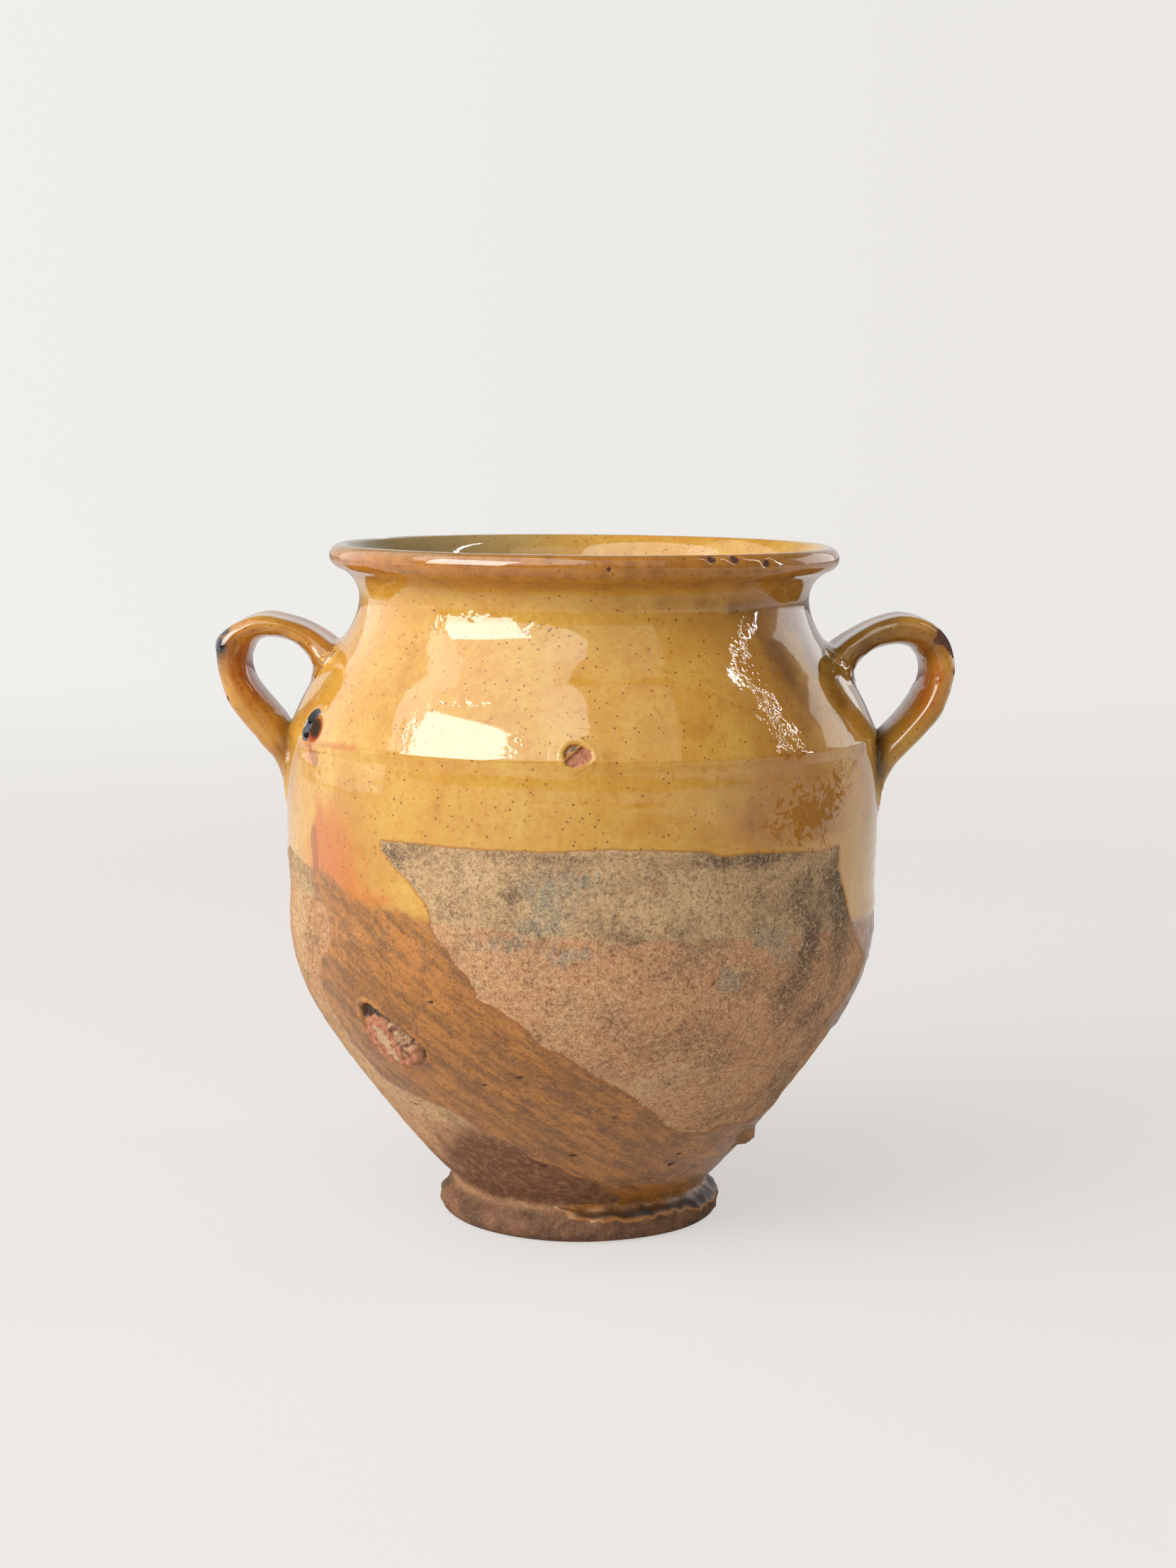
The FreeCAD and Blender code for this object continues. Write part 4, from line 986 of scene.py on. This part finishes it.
# Noises drawn out into streaks: cells per metre along each axis, detail, roughness and lean
STREAKS = {
    "streaks": (60.0, 60.0, 430.0, 4.0, 0.6, 0.0), "washes": (75.0, 75.0, 30.0, 4.0, 0.6, 0.0),
    "runs": (36.0, 80.0, 260.0, 5.0, 0.7, -36.0), "drags": (60.0, 150.0, 700.0, 4.0, 0.7, -36.0),
}
SPECK_CELLS = 430.0
BIG_SPECK_CELLS = 120.0
STONE_CELLS = 520.0
PORE_CELLS = 900.0
GLAZE_IOR = 1.8
DRY_IOR = 1.2
GLOSS = 0.055
CLAY_ROUGHNESS = 0.80
BUMP_DEPTH = 0.0007


def clay_colour(p, n):
    """Bare clay: pink below the shelf and grey above it, with soft patches, specks and sand."""
    foot = p.mix(n.cloud.above(0.4, 3.0), FOOT_DARK, FOOT_RED)
    foot = p.mix(n.fine.above(0.56, 1.6), foot, CLAY_LIGHT)
    umber = p.mix(n.sand.above(0.46, 4.0), CLAY_UMBER, FOOT_RED)
    stone = (p.cells(STONE_CELLS) < 0.2) * (p.cells(STONE_CELLS, out="Color") > 0.7)
    blue = p.edged("blue", (n.flecks - 0.5) * 3.4, 0.25, 1.0) * p.field("blue").step(0.02, 0.3)
    return p.over(
        CLAY_PINK,
        (p.edged("shelf", n.edge * 2.4, -0.7, 0.7), CLAY_GREY),
        (p.edged("light", n.drift * 1.3, 0.1, 0.95) * 0.65, CLAY_LIGHT),
        (p.edged("dark", n.drift * 1.5, 0.1, 1.0) * 0.9, CLAY_DARK),
        (blue * 0.8, CLAY_BLUE),
        (n.blotch.above(0.5, 3.2), CLAY_DARK),
        (n.blotch.below(0.47, 2.0), CLAY_LIGHT),
        (n.flecks.above(0.53, 4.2), CLAY_RUST),
        (n.flecks.below(0.44, 3.0), CLAY_DARK),
        (n.streaks.above(0.54, 1.3), CLAY_LIGHT),
        (n.streaks.below(0.45, 1.3), CLAY_DARK),
        (n.fine.above(0.52, 3.6), CLAY_LIGHT),
        (n.fine.below(0.47, 3.6), CLAY_SHADE),
        (n.grain.above(0.54, 4.0), CLAY_LIGHT),
        (n.grain.below(0.45, 5.0), CLAY_SHADE),
        (n.sand.above(0.54, 4.2), CLAY_LIGHT),
        (n.sand.below(0.45, 3.4), CLAY_SHADE),
        (stone * 0.4, CLAY_LIGHT),
        (p.edged("umber", n.drift * 0.9 + n.pepper * 0.5, 0.15, 0.85) * 0.85, umber),
        (p.field("foot").step(0.0, 1.0) * 0.88, foot),
    )


def yellow_glaze(p, n, ragged):
    """The yellow glaze: paler where it is thin and amber to red where it pooled or flushed."""
    rim = p.mix(((n.mottle - 0.40) * 3.0 + n.pepper * 1.6).clip(), RIM_AMBER, RIM_BROWN)
    return p.over(
        YELLOW,
        (n.broad.above(0.42, 2.0), YELLOW_PALE),
        (n.cloud.above(0.48, 1.8), YELLOW_DEEP),
        (n.mottle.above(0.50, 2.6), YELLOW_DEEP),
        (n.washes.above(0.5, 2.2), YELLOW_PALE),
        (n.washes.below(0.43, 1.8), AMBER),
        (p.edged("amber", n.drift * 0.7, 0.0, 1.1) * 0.8, AMBER),
        (p.edged("flush", n.drift * 0.8, 0.1, 1.05) * 0.85, FLUSH),
        (p.noise(520.0, 3.0, 0.6).above(0.50, 3.6), YELLOW_DEEP),
        (p.noise(310.0, 3.0, 0.65).above(0.58, 4.0), AMBER),
        # dark amber glaze, and painted shade on the right side of the pot
        (p.edged("deep", n.drift, 0.1, 1.0) * 0.85, DEEP_GLAZE_AND_SHADE),
        (ragged * 0.9, RAGGED_AMBER),
        (p.field("rim") * 0.8, rim),
    )


def brown_glaze(p, n):
    """The thin brown glaze below: streaks that lean the way it was wiped and ran."""
    return p.over(
        BROWN_DULL,
        (n.runs.step(0.42, 0.58), BROWN),
        (n.runs.step(0.52, 0.64) * 0.4, BROWN_GOLD),
        (n.cloud.step(0.48, 0.66) * 0.4, BROWN_DEEP),
        (n.drags.step(0.47, 0.38) * 0.4, BROWN_DEEP),
        (n.drags.step(0.53, 0.63) * 0.35, BROWN_GOLD),
        (n.mottle.step(0.55, 0.70) * 0.5, BROWN_DEEP),
        (n.fine.step(0.54, 0.68) * 0.6, BROWN_GOLD),
        (n.fine.step(0.46, 0.33) * 0.7, BROWN_DEEP),
    )


def glaze_colour(p, n, upper, ragged, speck):
    """All the glaze: yellow over brown, green inside, iron specks, and dark where it is thick."""
    glaze = p.field("glaze")
    green = p.field("indoors").step(-0.4, 0.2) * (0.9 - p.axis("X").step(-0.07, 0.03)) * (n.broad * 0.8 + 0.5)
    foot = p.field("foot")
    glow = foot.step(0.05, 0.4) * (glaze + n.edge * 0.6).step(1.5, 0.2)
    return p.over(
        p.mix(upper, brown_glaze(p, n), yellow_glaze(p, n, ragged)),
        (p.edged("drip", n.edge * 0.6, 0.40, 0.66) * 0.7, AMBER_DEEP),
        (green.clip(), INNER_GREEN),
        (speck * 0.85, SPECK),
        ((glaze - 0.2 + n.edge * 1.6).step(0.8, 0.0) * 0.6, AMBER_DEEP),
        ((foot.step(0.2, 1.0) * (n.mottle + 0.45)).clip(), FOOT_GLAZE),
        (glow * 0.75, AMBER_GLOW),
    )


def marked_colour(p, n, colour, pitted, nicked, broken, torn):
    """The colour with the marks over it: painted shade in creases, the hole in the glaze, nicks, chip and scar."""
    # the hole is near black in its middle as painted shade, and red-brown glaze towards its edge
    pit = p.mix(p.edged("pitted", n.drift * 0.8, 0.52, 0.12), PIT_SHADE, PIT_RED)
    rock = p.mix(n.flesh.above(0.44, 5.0), CLAY_SHADE, CLAY_LIGHT)
    flesh = p.mix(n.flesh.above(0.42, 4.0), TERRACOTTA, SALMON)
    flesh = p.mix(p.edged("stony", n.edge * 4.0, -0.4, 1.2) * 0.75, flesh, rock)
    pores = (p.cells(PORE_CELLS) < 0.3) * (n.flesh > 0.48)
    cream = p.edged("cream", n.edge, -0.1, 0.7) * (1.0 - pores * 0.75)
    return p.over(
        colour,
        # painted shade in the creases at the handle joints and under the lump
        (p.field("crease") * 0.85, CREASE_SHADE),
        (pitted * 0.96, pit),
        (p.edged("blackened", n.edge * 0.8, 0.0, 0.45), BLACK_GLAZE),
        (nicked, p.mix(n.fine.above(0.5, 3.0), NICK, FOOT_RED)),
        (broken, p.mix(n.fine.above(0.45, 3.0), TERRACOTTA, SALMON)),
        # dark glaze and painted shade in the scar's and chip's hollows
        (p.edged("soot", n.edge * 0.5, -0.1, 0.5) * 0.9, HOLLOW_DARK_AND_SHADE),
        (p.field("glint").step(0.0, 0.6), GLINT),
        (torn, flesh),
        (cream * (0.8 + (n.flesh - 0.5) * 1.6).clip(), CREAM),
    )


def pot_finish():
    """Fired clay with a lead glaze over part of it, by fields on the piece's points. The glaze is
    glossy; bare clay and the inside of the hole are mixed with a shader that has hardly any sheen."""
    material = bpy.data.materials.new("glazed_earthenware")
    material.use_nodes = True
    p = Paint(material.node_tree)
    n = SimpleNamespace(**{name: p.noise(*values) for name, values in NOISES.items()})
    for name, (x, y, z, detail, rough, lean) in STREAKS.items():
        setattr(n, name, p.noise(1.0, detail, rough, where=p.stretched(x, y, z, lean)))
    n.edge, n.drift, n.pepper = n.edge - 0.5, n.cloud - 0.5, n.fine - 0.5

    glazed = p.edged("glaze", n.edge * 2.2, -0.18, 0.18)
    broken = p.edged("broken", n.edge * 1.2, -0.1, 0.25)
    torn = p.edged("torn", n.edge * 1.4, -0.1, 0.5)
    nicked = p.edged("nicked", n.edge * 1.4, 0.0, 0.25)
    pitted = p.field("pitted").step(-0.12, 0.35)
    upper = p.edged("tone", n.edge * 5.0 + n.drift * 5.0, -2.4, 2.6)
    ragged = p.edged("ragged", (p.noise(230.0, 4.0, 0.66, distort=0.9) - 0.5) * 4.4, 0.60, 0.68)
    ragged = ragged * p.field("ragged").step(0.05, 0.3)
    speck = ((p.cells(SPECK_CELLS) + n.pepper * 0.3) < 0.16) * (p.cells(SPECK_CELLS, out="Color") > 0.45)
    big_speck = (p.cells(BIG_SPECK_CELLS) + n.pepper * 0.12) < 0.055
    speck = speck.top(big_speck * (p.cells(BIG_SPECK_CELLS, out="Color") > 0.6))
    colour = p.mix(glazed, clay_colour(p, n), glaze_colour(p, n, upper, ragged, speck))
    colour = marked_colour(p, n, colour, pitted, nicked, broken, torn)

    shiny = glazed * (1.0 - broken) * (1.0 - torn) * (1.0 - nicked)
    brown = 1.0 - upper
    grit = n.fine * 0.5 + p.noise(380.0, 3.0, 0.6) * 0.5
    glaze_height = p.noise(70.0, 2.0, 0.5) * 0.28 + p.noise(330.0, 2.0, 0.5) * 0.05 - speck * 0.06
    crinkled = p.field("crinkle") * (p.noise(250.0, 2.0, 0.5) - 0.5) * 3.4
    uneven = brown * ((p.noise(150.0, 4.0, 0.65) - 0.5) * 0.7 + n.drags * 0.5)
    height = shiny * (glaze_height + crinkled + uneven + 0.55) + (1.0 - shiny) * (grit * 0.9 + n.streaks * 0.3)
    bump = p.node("ShaderNodeBump", None, Strength=0.55, Distance=BUMP_DEPTH, Height=height)
    hole = pitted * (p.field("blackened") < 0.0)
    satin = brown * (0.22 + (n.mottle - 0.5) * 0.6)
    rough = GLOSS + satin + p.field("foot") * 0.3 + hole * 0.6 + p.field("crease") * 0.5
    rough = (1.0 - shiny) * CLAY_ROUGHNESS + shiny * rough
    glossy = p.node("ShaderNodeBsdfPrincipled", None, Base_Color=colour, Roughness=rough, Normal=bump, IOR=GLAZE_IOR)
    dull = p.node("ShaderNodeBsdfPrincipled", None, Base_Color=colour, Roughness=0.9, Normal=bump, IOR=DRY_IOR)
    dry = (1.0 - shiny) * 0.7 + hole * 0.85 + ragged * glazed * 0.9
    p.node("ShaderNodeOutputMaterial", None, p.blend(dry.clip(), glossy, dull))
    return material


# ---- Floor, light and camera ----

BLACK = (0.0, 0.0, 0.0, 1.0)
PALE = tint(234, 231, 227)
PALE_LEFT = tint(240, 239, 236)
FLOOR_FRONT = tint(230, 226, 222)
FLOOR_MATT = (0.80, 0.785, 0.77, 1.0)
FLOOR_SIZE = 14.0
ROOM_MIRRORED = (0.9, 0.9, 0.9, 1.0)
ROOM_AMBIENT = (0.98, 0.99, 1.0, 1.0)
AMBIENT = 0.29
LIGHT_TARGET = (0.0, 0.0, 0.14)
# Lights: name, angle from the front, angle above the floor, distance, width, height, radiance,
# whether it stands upright, and whether it is oval
LIGHTS = (
    ("window", -54.0, 27.5, 2.2, 1.42, 1.32, 5.8, False, False),
    ("curtain", -47.0, 64.5, 3.72, 4.1, 5.6, 1.62, True, True),
    ("side_curtain", -109.0, 38.0, 2.2, 2.1, 2.9, 0.85, True, False),
    ("front_fill", 14.0, 46.0, 2.8, 2.2, 2.4, 0.42, False, False),
    ("right_gap", 96.0, 33.0, 2.2, 0.06, 2.5, 14.0, False, False),
    ("right_wall", 132.0, 14.0, 2.4, 1.6, 1.2, 1.0, False, False),
)
CAMERA_PLACE = (0.002, -0.943, 0.2901)
CAMERA_PITCH, CAMERA_ROLL = math.radians(7.81), math.radians(0.46)
LENS, FILM = 58.59, 36.0


def pale_floor():
    """A broad pale floor that fades into the pale surroundings. Seen in the glaze it is dimmer."""
    s = FLOOR_SIZE
    mesh = bpy.data.meshes.new("floor")
    mesh.from_pydata([(-s, -s, 0), (s, -s, 0), (s, s, 0), (-s, s, 0)], [], [(0, 1, 2, 3)])
    floor = bpy.data.objects.new("floor", mesh)
    bpy.context.scene.collection.objects.link(floor)
    material = bpy.data.materials.new("pale_floor")
    material.use_nodes = True
    p = Paint(material.node_tree)
    away = p.node("ShaderNodeVectorMath", {"operation": "LENGTH"}, p.place(), out="Value")
    across = p.axis("X")
    far = p.mix((across / (away + 0.3)).step(-0.35, 0.35), PALE_LEFT, PALE)
    matt = p.node("ShaderNodeBsdfDiffuse", None, Color=FLOOR_MATT)
    glow = p.glow("Emission", p.mix(away.step(0.4, 2.2), FLOOR_FRONT, far))
    share = 0.84 - 0.50 * across.step(-0.6, 0.35) + 0.34 * across.step(0.5, 1.2)
    dim = p.glow("Emission", p.mix(share, BLACK, PALE))
    seen = p.blend(p.ray("Camera") * (0.72 + 0.28 * away.step(0.4, 1.5)), matt, glow)
    front = 1.0 - p.axis("Y").step(-0.1, 0.4)
    p.node("ShaderNodeOutputMaterial", None, p.blend(p.ray("Glossy") * front, seen, dim))
    mesh.materials.append(material)


def pale_room():
    """Pale surroundings for the camera, a dim even light, and in the glaze a brighter far side."""
    world = bpy.data.worlds.new("pale_room")
    bpy.context.scene.world = world
    world.use_nodes = True
    w = Paint(world.node_tree)
    way = w.node("ShaderNodeTexCoord", None, out="Generated")
    behind = w.axis("Y", way).step(0.1, 0.6) * (1.0 - w.axis("Z", way).step(0.25, 0.6))
    seen = w.glow("Background", w.mix(w.axis("X", way).step(-0.35, 0.35), PALE_LEFT, PALE))
    mirrored = w.glow("Background", w.mix(0.12 + 0.70 * behind, BLACK, ROOM_MIRRORED))
    lit = w.blend(w.ray("Glossy"), w.glow("Background", ROOM_AMBIENT, AMBIENT), mirrored)
    w.node("ShaderNodeOutputWorld", None, w.blend(w.ray("Camera"), lit, seen))


def soft_light(name, azimuth, elevation, distance, width, height, radiance, upright, oval):
    """An even rectangle or oval of light that faces the pot or stands upright, its place given by
    angle from the front, angle above the floor and distance, and its brightness by radiance."""
    lamp = bpy.data.lights.new(name, "AREA")
    lamp.shape = "ELLIPSE" if oval else "RECTANGLE"
    lamp.size = width
    lamp.size_y = height
    lamp.energy = radiance * math.pi * width * height * (math.pi / 4 if oval else 1.0)
    lit = bpy.data.objects.new(name, lamp)
    a, e = math.radians(azimuth), math.radians(elevation)
    way = Vector((math.sin(a) * math.cos(e), -math.cos(a) * math.cos(e), math.sin(e)))
    lit.location = Vector(LIGHT_TARGET) + way * distance
    if upright:
        way = Vector((way.x, way.y, 0.0))
    lit.rotation_euler = way.to_track_quat("Z", "Y").to_euler()
    lit.visible_camera = False
    bpy.context.scene.collection.objects.link(lit)


def add_camera():
    """The camera at the place from which the pot is seen: a little above the rim, tilted down."""
    forward = Vector((0.0, math.cos(CAMERA_PITCH), -math.sin(CAMERA_PITCH)))
    level = Vector((1.0, 0.0, 0.0))
    above = Vector((0.0, math.sin(CAMERA_PITCH), math.cos(CAMERA_PITCH)))
    right = level * math.cos(CAMERA_ROLL) + above * math.sin(CAMERA_ROLL)
    up = above * math.cos(CAMERA_ROLL) - level * math.sin(CAMERA_ROLL)
    data = bpy.data.cameras.new("camera")
    data.sensor_width = FILM
    data.lens = LENS
    camera = bpy.data.objects.new("camera", data)
    place = Matrix((right, up, -forward)).transposed().to_4x4()
    place.translation = Vector(CAMERA_PLACE)
    camera.matrix_world = place
    bpy.context.scene.collection.objects.link(camera)
    bpy.context.scene.camera = camera


# ---- The pieces ----


def joint_shade(side, gap, width, height, low, high):
    """Painted shade in the crease where a handle meets the wall, by the gap between them, and only
    below the ridge: it fades in over the first pair of heights and out over the second."""
    return CREASE_SHADE_STRENGTH[side] * bell(gap, width) * (1 - ramp(*high, height)) * ramp(*low, height)


def join_wall(place, way, fields, outside, line, side, strap):
    """Fills the wall's side of the joint with a strap, and paints shade into the crease."""
    sign = SIGNS[side]
    height = place[..., 2]
    rows = outside & (height > JOINT_FOOT) & (height < MARKS_TO) & (sign * place[..., 0] > JOINT_SIDE)
    moved = fill_joint(place[rows], way[rows], lambda q: wall_distance(q, line),
                       lambda q: strap_distance(q, sign, strap))
    place[rows] = moved
    gap = strap_distance(moved, sign, strap)
    # painted shade in the crease where the strap meets the wall
    shade = joint_shade(side, gap, 3.0, moved[..., 2], (152, 162), (182, 192))
    fields["crease"][rows] = np.maximum(fields["crease"][rows], shade)


def join_strap(line, side, strap):
    """Fills the strap's side of its joint with the wall. Returns its points and fields."""
    sign = SIGNS[side]
    form = fill_joint(strap.place, outward(strap.place) * sign, lambda q: strap_distance(q, sign, strap),
                      lambda q: wall_distance(q, line))
    x, y, height = form[..., 0], form[..., 1], form[..., 2]
    run = strap.run
    fields = {name: 0.0 for name in (*PATCHES, "foot", "rim")}
    fields.update({name: -OUTSIDE for name in HANDLE_BLANKS})
    fields.update({"glaze": 20.0, "tone": 40.0, "shelf": 20.0, "indoors": -1.0})
    # painted shade on the strap where it meets the wall
    fields["crease"] = joint_shade(side, wall_distance(form, line), 4.0, height, (158, 170), (183, 192))
    flush = 0.25 + 0.55 * ramp(0.2, 0.5, run) * (1 - ramp(0.5, 0.7, run)) + 0.4 * (1.0 - ramp(150, 170, height))
    fields["flush"] = np.clip(flush, 0, 1) * (0.45 + 0.55 * ramp(-0.6, 0.3, -strap.deep)[None, :])
    fields["amber"] = 0.5 + 0.4 * ripple(x, y, height, 18, 44)
    root_end, elbow = DEEP_HANDLES[side]
    deep = root_end * (1 - ramp(0.34, 0.5, run)) + elbow * ramp(0.3, 0.4, run) * (1 - ramp(0.5, 0.62, run))
    fields["deep"] = np.clip(deep + 0.05 + 0.35 * ripple(x, y, height, 26, 45), 0, 1)
    for name, spots in HANDLE_SPOTS[side].items():
        fields[name] = spot_field(form, spots)
    return form, fields


bpy.context.scene.view_settings.view_transform = "Standard"
add_camera()
pale_floor()
pale_room()
for light in LIGHTS:
    soft_light(*light)
finish = pot_finish()

line, normal, lip = profile_line()
place, way, fields, outside = body_form(line, normal, lip)
wall_line = line[: lip + 1]
straps = {"right": strap_form(RIGHT_EDGES, 1, 21), "left": strap_form(LEFT_EDGES, -1, 31)}
for side, strap in straps.items():
    join_wall(place, way, fields, outside, wall_line, side, strap)
reach = np.hypot(place[..., 0], place[..., 1])
held = np.minimum(1.0, JOINED_REACH / np.maximum(reach, 1.0))
place[..., :2] *= np.where(place[..., 2] < LIP_FOOT, held, 1.0)[..., None]

pieces = [closed_mesh("pot_body", place, fields, False)]
for name, mark in MARKS.items():
    pieces.append(closed_mesh(name + "_skin", *mark_form(mark, line, normal, lip), True))
for side, strap in straps.items():
    pieces.append(closed_mesh(side + "_handle", *join_strap(wall_line, side, strap), SIGNS[side] > 0))

for piece in pieces:
    piece.data.materials.append(finish)
    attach(piece, "root")
    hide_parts("confit_pot")
